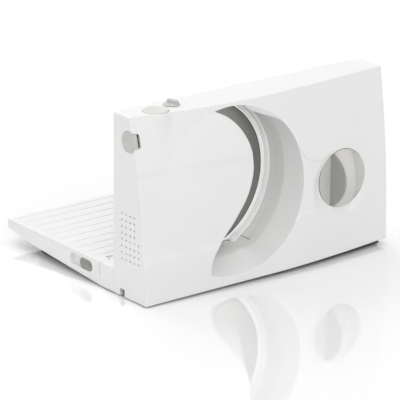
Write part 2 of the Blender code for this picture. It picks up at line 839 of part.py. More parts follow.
def face_posts(shell):
    """Posts inside the face that hold the guide rods, the spindles and the screws."""
    for x, z in ROD_PLACES:
        start = on_face(x, z, WALL / 2)
        join(shell, rod("rod_post", "Y", (x, start, z), -ROD_POST_END - start, ROD_POST_RADIUS, sides=SMALL_SIDES))
        hole = rod("rod_hole", "Y", (x, -ROD_FRONT - SEAM, z), ROD_FRONT, ROD_RADIUS + BORE_SLACK, sides=SMALL_SIDES)
        cut(shell, hole)
    start = on_face(BLADE_X, BLADE_Z, WALL / 2)
    place = (BLADE_X, start, BLADE_Z)
    join(shell, rod("spindle_boss", "Y", place, -SPINDLE_BOSS_END - start, SPINDLE_BOSS))
    place = (BLADE_X, -SPINDLE_FRONT - SEAM, BLADE_Z)
    cut(shell, rod("spindle_hole", "Y", place, SPINDLE_FRONT, SPINDLE_RADIUS + BORE_SLACK))
    start = on_face(IDLER_X, IDLER_Z, WALL / 2)
    boss_end = -WHEEL_FRONT - SLACK
    join(shell, rod("axle_boss", "Y", (IDLER_X, start, IDLER_Z), boss_end - start, AXLE_BOSS, sides=SMALL_SIDES))
    place = (IDLER_X, -AXLE_FRONT - SEAM, IDLER_Z)
    cut(shell, rod("axle_hole", "Y", place, AXLE_FRONT, AXLE_RADIUS + BORE_SLACK, sides=SMALL_SIDES))
    for x, z in BACK_SCREW_PLACES:
        start = on_face(x, z, WALL / 2)
        length = -GAUGE_SKIN - SEAM - start
        join(shell, rod("back_post", "Y", (x, start, z), length, POST_RADIUS, sides=SMALL_SIDES))
        place = (x, -GAUGE_SKIN - POST_DEPTH, z)
        cut(shell, rod("back_bore", "Y", place, 2 * POST_DEPTH, POST_BORE, sides=SMALL_SIDES))
    base_top = BASE_BOTTOM + BASE_THICK
    for x in BASE_SCREW_XS:
        y = on_face(x, 0, BASE_SCREW_INSET)
        length = BASE_POST_TOP - base_top - SEAM
        post = rod("base_post", "Z", (x, y, base_top + SEAM), length, POST_RADIUS, sides=SMALL_SIDES)
        rib_low = (x - RIB_HALF, on_face(x, 0, WALL / 2), base_top + SEAM)
        rib = box("post_rib", rib_low, (x + RIB_HALF, y, BASE_POST_TOP - RIB_HALF))
        join(shell, join(post, rib))
        cut(shell, rod("base_bore", "Z", (x, y, -OVERRUN), POST_DEPTH + OVERRUN, POST_BORE, sides=SMALL_SIDES))
    return shell


def make_housing_front():
    shell = body("housing_front")
    cut(shell, body_loft("housing_inside", WALL, True))
    join(shell, dome_cap("dome"))
    walls = keep(chute_space("chute_walls", CHUTE_WALL), body("face_limit", FACE_OVERLAP))
    trim = blade_ring("side_trim", PAN_RADIUS, 2 * PAN_RADIUS, -CHUTE_SIDE_BACK, OVERRUN)
    cut(walls, trim)
    join(shell, walls)
    start = on_face(KNOB_X, 0)
    seat = rod("seat", "Y", (KNOB_X, start, KNOB_Z), -KNOB_SEAT + SEAT_WALL - start, DISH_RADIUS + SEAT_EXTRA)
    keep(seat, body("seat_limit", FACE_OVERLAP))
    join(shell, seat)
    waist = plate("waist", "XZ", neck_outline(), -2 * FACE_DEPTH, -NECK_BACK)
    cut(waist, body("waist_floor", 0.0, NECK_DEPTH))
    cut(shell, waist)
    length = 2 * SEAT_REACH
    wide = DISH_RADIUS + length * SEAT_FLARE_SHARE
    dish = rod("dish", "Y", (KNOB_X, -DISH_DEPTH - length, KNOB_Z), length, wide, DISH_RADIUS, CIRCLE_POINTS)
    cut(shell, dish)
    well = rod("well", "Y", (KNOB_X, -2 * FACE_DEPTH, KNOB_Z), 2 * FACE_DEPTH - KNOB_SEAT, KNOB_RADIUS + SLACK)
    cut(shell, well)
    cut(shell, rod("lead_hole", "Y", (KNOB_X, -KNOB_SEAT - OVERRUN, KNOB_Z), SEAT_REACH, LEAD_RADIUS + SEAM))
    boss_floor = HEIGHT - BOSS_DROP
    boss = rod("button_boss", "Z", (BOSS_X, BUTTON_Y, boss_floor), BOSS_DROP, BUTTON_BOSS_RADIUS)
    join(shell, boss)
    bore = rod("button_bore", "Z", (BOSS_X, BUTTON_Y, boss_floor - OVERRUN), 2 * BOSS_DROP, BUTTON_RADIUS + BUTTON_GAP)
    cut(shell, bore)
    stem = (SELECTOR_X, SELECTOR_Y, HEIGHT - WALL - OVERRUN)
    cut(shell, rod("selector_hole", "Z", stem, WALL + 2 * OVERRUN, SELECTOR_STEM + SEAM, sides=SMALL_SIDES))
    cut(shell, half_moon("lock_pocket", SEAM, -OVERRUN, LOCK_DEPTH + LOCK_TRAVEL + SEAM))
    cut(shell, chute_space("chute", 0.0))
    cut(shell, vent_cutter("vents"))
    notch_low = (-OVERRUN, NOTCH_NEAR_Y - NOTCH_WIDTH, -OVERRUN)
    cut(shell, box("cord_notch", notch_low, (WALL + SLACK, NOTCH_NEAR_Y, NOTCH_TOP)))
    return finish(face_posts(shell), "white plastic")


def make_housing_back():
    """The back of the housing: an inset panel with the blade pan, on the ledge of the base."""
    left = WALL + SEAM
    panel = box("housing_back", (left, -GAUGE_SKIN, LEDGE_FRONT_FLOOR), (PANEL_RIGHT, 0, PANEL_TOP))
    pan_start = -PAN_FLOOR - PAN_WALL
    pan = rod("pan", "Y", (BLADE_X, pan_start, BLADE_Z), -pan_start, PAN_RADIUS + PAN_WALL, sides=CIRCLE_POINTS)
    join(panel, pan)
    cut(panel, rod("pan_hollow", "Y", (BLADE_X, -PAN_FLOOR, BLADE_Z), 2 * PAN_FLOOR, PAN_RADIUS, sides=CIRCLE_POINTS))
    cut(panel, chute_space("chute_clear", CHUTE_WALL + 2 * SLACK))
    side = blade_ring("gauge_clear", PAN_RADIUS - SEAM / 2, 2 * PAN_RADIUS, -2 * PAN_FLOOR, OVERRUN)
    cut(panel, keep(side, box("gauge_side", (PANEL_RIGHT, -WIDTH, 0), (WIDTH, WIDTH, HEIGHT))))
    hub = rod("hub_hole", "Y", (BLADE_X, -2 * PAN_FLOOR, BLADE_Z), 2 * PAN_FLOOR, HUB_RADIUS + HUB_GAP)
    cut(panel, hub)
    pinion_tip = GEAR_MODULE * (PINION_TEETH / 2 + 1) + HUB_GAP
    cut(panel, rod("pinion_hole", "Y", (IDLER_X, -2 * PAN_FLOOR, IDLER_Z), 2 * PAN_FLOOR, pinion_tip))
    ledge = box("ledge", (0, SEAM, EDGE_LIFT_LEFT), (WIDTH, LEDGE_DEPTH, TABLE_TOP))
    hollow_low = (LEDGE_WALL, SEAM + LEDGE_WALL, -OVERRUN)
    hollow_high = (WIDTH - LEDGE_WALL, LEDGE_DEPTH - LEDGE_WALL, TABLE_TOP - LEDGE_WALL)
    cut(ledge, box("ledge_hollow", hollow_low, hollow_high))
    gate_low = (BASE_LEFT - SEAM, -OVERRUN, -OVERRUN)
    cut(ledge, box("ledge_gate", gate_low, (WIDTH - BASE_LEFT, 2 * LEDGE_WALL, LEDGE_FRONT_FLOOR)))
    bridge = box("bridge", (left, -GAUGE_SKIN, LEDGE_FRONT_FLOOR), (PANEL_RIGHT, LEDGE_WALL, LEDGE_BRIDGE_TOP))
    join(panel, join(ledge, bridge))
    for x in EAR_PLACES:
        ear_low = (x, LEDGE_DEPTH - LEDGE_WALL / 2, EAR_FLOOR)
        ear = box("ear", ear_low, (x + EAR_WIDTH, HINGE_Y, HINGE_Z + KNUCKLE_RADIUS))
        knuckle = rod("knuckle", "X", (x, HINGE_Y, HINGE_Z), EAR_WIDTH, KNUCKLE_RADIUS)
        join(panel, join(ear, knuckle))
        bore = (x - OVERRUN, HINGE_Y, HINGE_Z)
        cut(panel, rod("ear_bore", "X", bore, EAR_WIDTH + 2 * OVERRUN, HINGE_PIN_RADIUS + BORE_SLACK, sides=SMALL_SIDES))
    for x in BASE_SCREW_XS:
        base_top = BASE_BOTTOM + BASE_THICK
        length = TABLE_TOP - LEDGE_WALL / 2 - base_top - SEAM
        join(panel, rod("ledge_post", "Z", (x, BASE_SCREW_BACK, base_top + SEAM), length, POST_RADIUS, sides=SMALL_SIDES))
        bore = (x, BASE_SCREW_BACK, -OVERRUN)
        cut(panel, rod("ledge_bore", "Z", bore, POST_DEPTH + OVERRUN, POST_BORE, sides=SMALL_SIDES))
    for x, z in BACK_SCREW_PLACES:
        cut(panel, rod("panel_bore", "Y", (x, -2 * GAUGE_SKIN, z), 4 * GAUGE_SKIN, POST_BORE, sides=SMALL_SIDES))
        cut(panel, rod("panel_sink", "Y", (x, -SCREW_SINK, z), 2 * GAUGE_SKIN, SCREW_HEAD + SEAM, sides=SMALL_SIDES))
    return finish(panel, "white plastic")


def make_base_plate():
    outline = []
    for x in np.linspace(BASE_LEFT, WIDTH - BASE_RIGHT_INSET, SMALL_SIDES):
        outline.append((x, on_face(x, 0, BASE_INSET)))
    back = LEDGE_DEPTH - LEDGE_WALL - SLACK
    outline += [(WIDTH - BASE_RIGHT_INSET, back), (BASE_LEFT, back)]
    made = plate("base_plate", "XY", outline, BASE_BOTTOM, BASE_BOTTOM + BASE_THICK)
    for x, y in foot_places():
        place = (x, y, -OVERRUN)
        cut(made, rod("foot_pocket", "Z", place, BASE_BOTTOM + FOOT_POCKET + OVERRUN, FOOT_RADIUS + SEAM, sides=SMALL_SIDES))
    for x, y in base_screw_places():
        cut(made, rod("screw_hole", "Z", (x, y, 0), 2 * FOOT_RADIUS, SCREW_SHANK + SEAM, sides=SMALL_SIDES))
        sink = BASE_BOTTOM + SCREW_HEAD_HEIGHT + SEAM
        cut(made, rod("screw_sink", "Z", (x, y, -OVERRUN), sink + OVERRUN, SCREW_HEAD + SEAM, sides=SMALL_SIDES))
    return finish(made, "dark plastic")


def foot_places():
    xs = (FOOT_INSET_X, WIDTH - FOOT_INSET_X - BASE_LEFT)
    return [(x, y) for y in (FOOT_FRONT_Y, FOOT_BACK_Y) for x in xs]


def base_screw_places():
    front = [(x, on_face(x, 0, BASE_SCREW_INSET)) for x in BASE_SCREW_XS]
    return front + [(x, BASE_SCREW_BACK) for x in BASE_SCREW_XS]


def make_feet():
    feet = []
    names = ("foot_front_left", "foot_front_right", "foot_back_left", "foot_back_right")
    for name, (x, y) in zip(names, foot_places()):
        height = BASE_BOTTOM + FOOT_POCKET - SEAM
        profile = [(0, 0), (FOOT_RADIUS - SLACK, 0), (FOOT_RADIUS, SLACK), (FOOT_RADIUS, height), (0, height)]
        feet.append(finish(turned(name, "Z", (x, y, 0), profile, SMALL_SIDES), "rubber"))
    for name, x in (("foot_table_left", TABLE_FOOT_X), ("foot_table_right", WIDTH - TABLE_FOOT_X)):
        height = SUPPORT_BOTTOM + FOOT_POCKET - SEAM
        profile = [(0, 0), (FOOT_RADIUS - SLACK, 0), (FOOT_RADIUS, SLACK), (FOOT_RADIUS, height), (0, height)]
        feet.append(finish(turned(name, "Z", (x, TABLE_FOOT_Y, 0), profile, SMALL_SIDES), "rubber"))
    return feet


def screw(name, axis, place, direction):
    """A raised-head screw; its head starts at the given place and its shank leads inwards."""
    head = rod(name, axis, place, direction * SCREW_HEAD_HEIGHT, SCREW_HEAD, sides=SMALL_SIDES)
    shank = rod("shank", axis, place, direction * SCREW_LENGTH, SCREW_SHANK, sides=SMALL_SIDES)
    join(head, shank)
    slot_half = Vector((SCREW_HEAD, SCREW_SLOT / 2, SCREW_SLOT / 2))
    if axis == "Y":
        slot_half = Vector((SCREW_HEAD, SCREW_SLOT / 2, SCREW_SLOT / 2))
    cut(head, box("slot", Vector(place) - slot_half, Vector(place) + slot_half))
    return finish(head, "steel")


def make_screws():
    made = []
    names = ("base_screw_front_left", "base_screw_front_right", "base_screw_back_left", "base_screw_back_right")
    for name, (x, y) in zip(names, base_screw_places()):
        made.append(screw(name, "Z", (x, y, BASE_BOTTOM), 1))
    for name, (x, z) in zip(("back_screw_upper", "back_screw_lower"), BACK_SCREW_PLACES):
        made.append(screw(name, "Y", (x, -SCREW_SINK + SEAM + SCREW_HEAD_HEIGHT, z), -1))
    return made


# The blade, its gear and its centre lock
def tooth_outline(centre_x, centre_z, module, teeth, phase):
    """A spur gear's outline: straight-flanked teeth on the pitch circle, with backlash."""
    pitch = module * teeth / 2
    tip = pitch + module * ADDENDUM_SHARE
    root = pitch - module * DEDENDUM_SHARE
    half = (math.pi * module / 2 - BACKLASH) / 2
    slope = math.tan(PRESSURE_ANGLE)
    outline = []
    for tooth in range(teeth):
        middle = phase + TURN * tooth / teeth
        corners = (
            (root, -(half + (pitch - root) * slope)),
            (tip, -(half - (tip - pitch) * slope)),
            (tip, half - (tip - pitch) * slope),
            (root, half + (pitch - root) * slope),
        )
        for radius, offset in corners:
            angle = middle + offset / radius
            outline.append((centre_x + radius * math.cos(angle), centre_z + radius * math.sin(angle)))
    return outline


def make_blade():
    front = -BLADE_BACK - BLADE_THICK
    edge = BLADE_RADIUS + OVERRUN / 2
    profile = [
        (BLADE_BORE, front - BLADE_DISH),
        (BLADE_FLAT_RADIUS - BLADE_DISH, front - BLADE_DISH),
        (BLADE_FLAT_RADIUS + BLADE_DISH, front),
        (edge, front),
        (edge, front + BLADE_EDGE),
        (BLADE_RADIUS, front + BLADE_EDGE),
        (BLADE_RADIUS - BLADE_BEVEL, -BLADE_BACK),
        (BLADE_FLAT_RADIUS + 2 * BLADE_DISH, -BLADE_BACK),
        (BLADE_FLAT_RADIUS, -BLADE_BACK - BLADE_DISH),
        (BLADE_BORE, -BLADE_BACK - BLADE_DISH),
    ]
    profile.append(profile[0])
    disc = turned("blade", "Y", (BLADE_X, 0, BLADE_Z), profile, CIRCLE_POINTS)
    outline = []
    for tooth in range(BLADE_TEETH):
        angle = TURN * tooth / BLADE_TEETH
        step = TURN / BLADE_TEETH / 2
        for radius, at in ((BLADE_RADIUS - TOOTH_DEPTH, angle), (BLADE_RADIUS, angle + step)):
            outline.append((BLADE_X + radius * math.cos(at), BLADE_Z + radius * math.sin(at)))
    keep(disc, plate("teeth", "XZ", outline, -2 * GAUGE_SKIN, GAUGE_SKIN))
    return finish(disc, "blade steel")


def make_blade_gear():
    outline = tooth_outline(BLADE_X, BLADE_Z, GEAR_MODULE, GEAR_TEETH, 0.0)
    gear = plate("blade_gear", "XZ", outline, -GEAR_FRONT, -GEAR_BACK)
    rim = GEAR_MODULE * (GEAR_TEETH / 2 - DEDENDUM_SHARE) - GEAR_RIM
    recess = blade_ring("recess", HUB_RADIUS + GEAR_WEB, rim, -GEAR_FRONT - OVERRUN, -GEAR_BACK - GEAR_WEB)
    cut(gear, recess)
    hub_back = -BLADE_BACK - BLADE_THICK - BLADE_DISH - SEAM
    hub = rod("hub", "Y", (BLADE_X, -HUB_FRONT, BLADE_Z), HUB_FRONT + hub_back, HUB_RADIUS)
    spigot_end = -BLADE_BACK - BLADE_DISH - SEAM
    spigot = rod("spigot", "Y", (BLADE_X, -HUB_FRONT, BLADE_Z), HUB_FRONT + spigot_end, BLADE_BORE - BORE_GAP)
    join(gear, hub, spigot)
    cut(gear, rod("gear_bore", "Y", (BLADE_X, -2 * HUB_FRONT, BLADE_Z), 4 * HUB_FRONT, SPINDLE_RADIUS + BORE_SLACK))
    return finish(gear, "gear plastic")


def make_blade_lock():
    """The quarter-turn centre piece that holds the blade on its hub."""
    back = -BLADE_BACK - BLADE_DISH + SEAM
    cap = rod("blade_lock", "Y", (BLADE_X, back, BLADE_Z), CAP_LOCK_THICK, CAP_LOCK_RADIUS)
    top = back + CAP_LOCK_THICK
    grip_low = (BLADE_X - CAP_LOCK_BAR / 2, top - SLACK, BLADE_Z - CAP_LOCK_RADIUS + CAP_LOCK_BAR)
    grip_high = (BLADE_X + CAP_LOCK_BAR / 2, top + CAP_LOCK_RISE, BLADE_Z + CAP_LOCK_RADIUS - CAP_LOCK_BAR)
    tip = (BLADE_X, -CAP_LOCK_TIP, BLADE_Z)
    stem = rod("lock_stem", "Y", tip, CAP_LOCK_TIP + back + SLACK, SPINDLE_RADIUS - BORE_GAP)
    join(cap, box("grip", grip_low, grip_high), stem)
    return finish(cap, "grey plastic")


def make_spindle():
    length = SPINDLE_FRONT - SPINDLE_BACK
    made = rod("blade_spindle", "Y", (BLADE_X, -SPINDLE_FRONT, BLADE_Z), length, SPINDLE_RADIUS)
    return finish(made, "steel")


# The double gear, the worm and the motor
def make_double_gear():
    """The small gear that drives the blade gear, in one piece with the worm wheel."""
    step = TURN / GEAR_TEETH
    ahead = (IDLER_BEARING % step) * GEAR_TEETH / 2
    mesh_phase = IDLER_BEARING + math.pi - (math.pi / 2 - ahead) / (PINION_TEETH / 2)
    outline = tooth_outline(IDLER_X, IDLER_Z, GEAR_MODULE, PINION_TEETH, mesh_phase)
    made = plate("double_gear", "XZ", outline, -GEAR_FRONT, -GEAR_BACK)
    core = rod("core", "Y", (IDLER_X, -WHEEL_FRONT, IDLER_Z), WHEEL_FRONT - GEAR_BACK, IDLER_CORE)
    wheel = helical_wheel("wheel")
    join(made, core, wheel)
    bore = (IDLER_X, -2 * WHEEL_FRONT, IDLER_Z)
    cut(made, rod("idler_bore", "Y", bore, 4 * WHEEL_FRONT, AXLE_RADIUS + BORE_SLACK, sides=SMALL_SIDES))
    return finish(made, "gear plastic")


def worm_lead():
    return math.pi * WHEEL_MODULE


def helical_wheel(name):
    """The worm wheel: its tooth outline turns a little from face to face, like the thread."""
    pitch = WHEEL_MODULE * WHEEL_TEETH / 2
    width = WHEEL_FRONT - WHEEL_BACK
    slant = worm_lead() / (TURN * WORM_RADIUS)
    twist = -slant * width / pitch
    sections = []
    for share in (0.0, 0.5, 1.0):
        phase = WHEEL_PHASE + twist * (share - 0.5)
        outline = tooth_outline(IDLER_X, IDLER_Z, WHEEL_MODULE, WHEEL_TEETH, phase)
        y = -WHEEL_FRONT + width * share
        sections.append([(x, y, z) for x, z in outline])
    count = len(sections[0])
    points = [point for section in sections for point in section]
    faces = [tuple(range(count)), tuple(range(3 * count - 1, 2 * count - 1, -1))]
    for s in range(2):
        for j in range(count):
            k = (j + 1) % count
            faces.append((s * count + j, s * count + k, (s + 1) * count + k, (s + 1) * count + j))
    return solid(name, points, faces)


def make_worm():
    """The worm: a core with one ridge carried round it, which sinks in at both ends."""
    lead = worm_lead()
    half_length = WORM_TURNS * lead / 2
    root = WORM_RADIUS - WHEEL_MODULE * DEDENDUM_SHARE
    core = rod("worm", "Z", (MOTOR_X, MOTOR_Y, IDLER_Z - half_length), 2 * half_length, root + BORE_SLACK)
    tip = WORM_RADIUS + WHEEL_MODULE * ADDENDUM_SHARE
    low = root - WORM_SINK
    half = (lead / 2 - BACKLASH) / 2
    slope = math.tan(PRESSURE_ANGLE)
    steps = int(WORM_STEPS * (WORM_TURNS - 1))
    sections = []
    for step in range(steps + 1):
        turn = (step / steps - 0.5) * (WORM_TURNS - 1)
        fade = min(1.0, step / WORM_FADE, (steps - step) / WORM_FADE)
        crest = low + SLACK + (tip - low - SLACK) * fade
        angle = WORM_PHASE + TURN * turn
        z = IDLER_Z + lead * turn
        ring = []
        for radius, side in ((low, -1), (crest, -1), (crest, 1), (low, 1)):
            offset = side * (half + (WORM_RADIUS - radius) * slope)
            ring.append((MOTOR_X + radius * math.cos(angle), MOTOR_Y + radius * math.sin(angle), z + offset))
        sections.append(ring)
    points = [point for ring in sections for point in ring]
    faces = [(0, 1, 2, 3), tuple(range(len(points) - 1, len(points) - 5, -1))]
    for s in range(steps):
        for j in range(4):
            k = (j + 1) % 4
            faces.append((s * 4 + j, s * 4 + k, (s + 1) * 4 + k, (s + 1) * 4 + j))
    join(core, solid("ridge", points, faces))
    place = (MOTOR_X, MOTOR_Y, 0)
    cut(core, rod("worm_bore", "Z", place, HEIGHT, SHAFT_RADIUS + BORE_SLACK, sides=SMALL_SIDES))
    return finish(core, "steel")


def make_axle():
    made = rod("gear_axle", "Y", (IDLER_X, -AXLE_FRONT, IDLER_Z), AXLE_FRONT - AXLE_BACK, AXLE_RADIUS, sides=SMALL_SIDES)
    return finish(made, "steel")


def make_motor():
    place = (MOTOR_X, MOTOR_Y, MOTOR_BOTTOM)
    can = rod("motor_can", "Z", place, MOTOR_TOP - MOTOR_BOTTOM, MOTOR_RADIUS)
    neck = rod("neck", "Z", (MOTOR_X, MOTOR_Y, MOTOR_TOP - SLACK), BOSS_HEIGHT, BOSS_RADIUS, sides=SMALL_SIDES)
    join(can, neck)
    shaft = (MOTOR_X, MOTOR_Y, MOTOR_TOP - SHAFT_DEPTH - SEAM)
    cut(can, rod("shaft_hole", "Z", shaft, HEIGHT, SHAFT_RADIUS + BORE_SLACK, sides=SMALL_SIDES))
    finish(can, "steel")
    shaft = rod("motor_shaft", "Z", (MOTOR_X, MOTOR_Y, MOTOR_TOP - SHAFT_DEPTH), SHAFT_LENGTH, SHAFT_RADIUS, sides=SMALL_SIDES)
    finish(shaft, "steel")
    fan_floor = MOTOR_TOP + BOSS_HEIGHT + SLACK
    fan = rod("cooling_fan", "Z", (MOTOR_X, MOTOR_Y, fan_floor), FAN_THICK, FAN_HUB, sides=SMALL_SIDES)
    for blade in range(FAN_BLADES):
        vane = box("vane", (0, -FAN_VANE / 2, fan_floor), (FAN_RADIUS, FAN_VANE / 2, fan_floor + FAN_THICK))
        turn = Matrix.Rotation(TURN * blade / FAN_BLADES, 4, "Z")
        vane.data.transform(Matrix.Translation((MOTOR_X, MOTOR_Y, 0)) @ turn)
        join(fan, vane)
    cut(fan, rod("fan_bore", "Z", (MOTOR_X, MOTOR_Y, 0), HEIGHT, SHAFT_RADIUS + BORE_SLACK, sides=SMALL_SIDES))
    finish(fan, "dark plastic")
    half = MOTOR_RADIUS + CRADLE_THICK
    floor = BASE_BOTTOM + BASE_THICK + SEAM
    front = MOTOR_Y - MOTOR_RADIUS - SLACK - BORE_SLACK
    low = (MOTOR_X - half, max(MOTOR_Y - half, front), floor)
    cradle = box("motor_cradle", low, (MOTOR_X + half, MOTOR_Y + half, CRADLE_RISE))
    cut(cradle, rod("cradle_bore", "Z", (MOTOR_X, MOTOR_Y, MOTOR_BOTTOM - SEAM), HEIGHT, MOTOR_RADIUS + SEAM))
    finish(cradle, "gear plastic")
    pan_face = -PAN_FLOOR - PAN_WALL - SEAM
    bracket = box(
        "bearing_bracket",
        (MOTOR_X - BRACKET_HALF, MOTOR_Y - BRACKET_HALF, BRACKET_FLOOR),
        (MOTOR_X + BRACKET_HALF, pan_face, BRACKET_FLOOR + BRACKET_THICK),
    )
    wall = box(
        "bracket_wall",
        (MOTOR_X - BRACKET_HALF, pan_face - BRACKET_THICK, BRACKET_FLOOR),
        (MOTOR_X + BRACKET_HALF, pan_face, BRACKET_TOP),
    )
    join(bracket, wall)
    cut(bracket, rod("bearing_bore", "Z", (MOTOR_X, MOTOR_Y, 0), HEIGHT, SHAFT_RADIUS + BORE_SLACK, sides=SMALL_SIDES))
    finish(bracket, "gear plastic")
    return [can, shaft, fan, cradle, bracket]


# The gauge plate and its knob
def make_gauge_plate():
    """The plate that the food slides along, with its curved lip beside the blade."""
    seat = GAUGE_LIP_RADIUS + GAUGE_SKIN
    start = math.asin((GAUGE_BOTTOM - BLADE_Z) / seat)
    end = math.acos((GAUGE_LEFT - BLADE_X) / seat)
    outline = arc(BLADE_X, BLADE_Z, seat, end, start, ARC_POINTS)
    outline += [(GAUGE_RIGHT, GAUGE_BOTTOM), (GAUGE_RIGHT, GAUGE_TOP), (GAUGE_LEFT, GAUGE_TOP)]
    made = plate("gauge_plate", "XZ", outline, -GAUGE_SKIN, 0)
    limit_high = (WIDTH, WIDTH, GAUGE_TOP)
    lip_arc = arc(0, 0, 1, LIP_BOTTOM, end, ARC_POINTS)
    rim = [(BLADE_X + GAUGE_LIP_OUTER * c, BLADE_Z + GAUGE_LIP_OUTER * s) for c, s in lip_arc]
    rim += [(BLADE_X + GAUGE_LIP_RADIUS * c, BLADE_Z + GAUGE_LIP_RADIUS * s) for c, s in reversed(lip_arc)]
    lip = plate("lip", "XZ", rim, -GAUGE_LIP_DEPTH, 0)
    keep(lip, box("lip_limit", (GAUGE_LEFT, -WIDTH, 0), limit_high))
    inner = arc(0, 0, 1, start, LIP_BOTTOM + LIP_LAP, SMALL_SIDES)
    edge = [(BLADE_X + (seat + GAUGE_SKIN) * c, BLADE_Z + (seat + GAUGE_SKIN) * s) for c, s in inner]
    edge += [(BLADE_X + GAUGE_LIP_RADIUS * c, BLADE_Z + GAUGE_LIP_RADIUS * s) for c, s in reversed(inner)]
    foot = plate("lip_foot", "XZ", edge, -GAUGE_SKIN, 0)
    keep(foot, box("foot_limit", (0, -WIDTH, GAUGE_BOTTOM), limit_high))
    skirt = blade_ring("skirt", GAUGE_SKIRT_INNER, GAUGE_SKIRT_OUTER, -GAUGE_SKIRT_DEPTH, -SLACK)
    keep(skirt, box("skirt_limit", (GAUGE_LEFT, -WIDTH, GAUGE_BOTTOM), limit_high))
    join(made, lip, foot, skirt)
    for x, z in ROD_PLACES:
        join(made, rod("sleeve", "Y", (x, -SLEEVE_LENGTH, z), SLEEVE_LENGTH - SLACK, SLEEVE_RADIUS, sides=SMALL_SIDES))
        hole = (x, -SLEEVE_LENGTH - OVERRUN, z)
        reach = SLEEVE_LENGTH + OVERRUN - GAUGE_SKIN / 2
        cut(made, rod("sleeve_hole", "Y", hole, reach, ROD_RADIUS + SEAM, sides=SMALL_SIDES))
    join(made, rod("nut", "Y", (KNOB_X, -NUT_LENGTH, KNOB_Z), NUT_LENGTH - SLACK, NUT_RADIUS))
    hole = (KNOB_X, -NUT_LENGTH - OVERRUN, KNOB_Z)
    cut(made, rod("nut_hole", "Y", hole, NUT_LENGTH + OVERRUN - GAUGE_SKIN / 2, LEAD_RADIUS + SEAM))
    for groove in range(GAUGE_GROOVES):
        z = GAUGE_BOTTOM + (GAUGE_TOP - GAUGE_BOTTOM) * (groove + 1) / (GAUGE_GROOVES + 1)
        reach = seat + GAUGE_SKIN
        left = BLADE_X + math.sqrt(max(reach**2 - (z - BLADE_Z) ** 2, 0)) + GROOVE_MARGIN
        low = (max(left, GAUGE_LEFT + GROOVE_MARGIN), -GROOVE_DEPTH, z - GROOVE_WIDTH / 2)
        high = (GAUGE_RIGHT - GROOVE_MARGIN, OVERRUN, z + GROOVE_WIDTH / 2)
        cut(made, box("groove", low, high))
    return finish(made, "white plastic")


def make_rods():
    made = []
    for name, (x, z) in zip(("guide_rod_upper", "guide_rod_lower"), ROD_PLACES):
        length = ROD_FRONT - ROD_BACK
        made.append(finish(rod(name, "Y", (x, -ROD_FRONT, z), length, ROD_RADIUS, sides=SMALL_SIDES), "steel"))
    return made


def make_knob():
    """The thickness knob: a dome cut down on both sides of an upright grip."""
    back = -KNOB_SEAT - SEAM
    rim = -KNOB_FRONT
    sphere = (KNOB_RADIUS**2 + KNOB_CROWN**2) / (2 * KNOB_CROWN)
    profile = [(0, back), (KNOB_RADIUS, back), (KNOB_RADIUS, rim)]
    for share in np.linspace(1, 0, DOME_RINGS)[1:]:
        radius = KNOB_RADIUS * share
        rise = math.sqrt(sphere**2 - radius**2) - (sphere - KNOB_CROWN)
        profile.append((radius, rim - rise))
    made = turned("thickness_knob", "Y", (KNOB_X, 0, KNOB_Z), profile, CIRCLE_POINTS)
    for side in (-1, 1):
        outline = [
            (KNOB_X + side * 2 * KNOB_RADIUS, rim),
            (KNOB_X + side * (KNOB_RADIUS - KNOB_LAND), rim),
            (KNOB_X + side * GRIP_FOOT, rim + SCOOP_DEPTH),
            (KNOB_X + side * GRIP_HALF, rim - KNOB_CROWN),
            (KNOB_X + side * GRIP_HALF, -3 * KNOB_FRONT),
            (KNOB_X + side * 2 * KNOB_RADIUS, -3 * KNOB_FRONT),
        ]
        cut(made, plate("scoop", "XY", outline, 0, HEIGHT))
    socket = (KNOB_X, back - SOCKET_DEPTH, KNOB_Z)
    cut(made, rod("socket", "Y", socket, 2 * SOCKET_DEPTH, LEAD_RADIUS + BORE_SLACK))
    finish(made, "grey plastic")
    lead_front = back - SOCKET_DEPTH + SEAM
    lead = rod("knob_spindle", "Y", (KNOB_X, lead_front, KNOB_Z), -LEAD_BACK - lead_front, LEAD_RADIUS)
    finish(lead, "steel")
    return [made, lead]


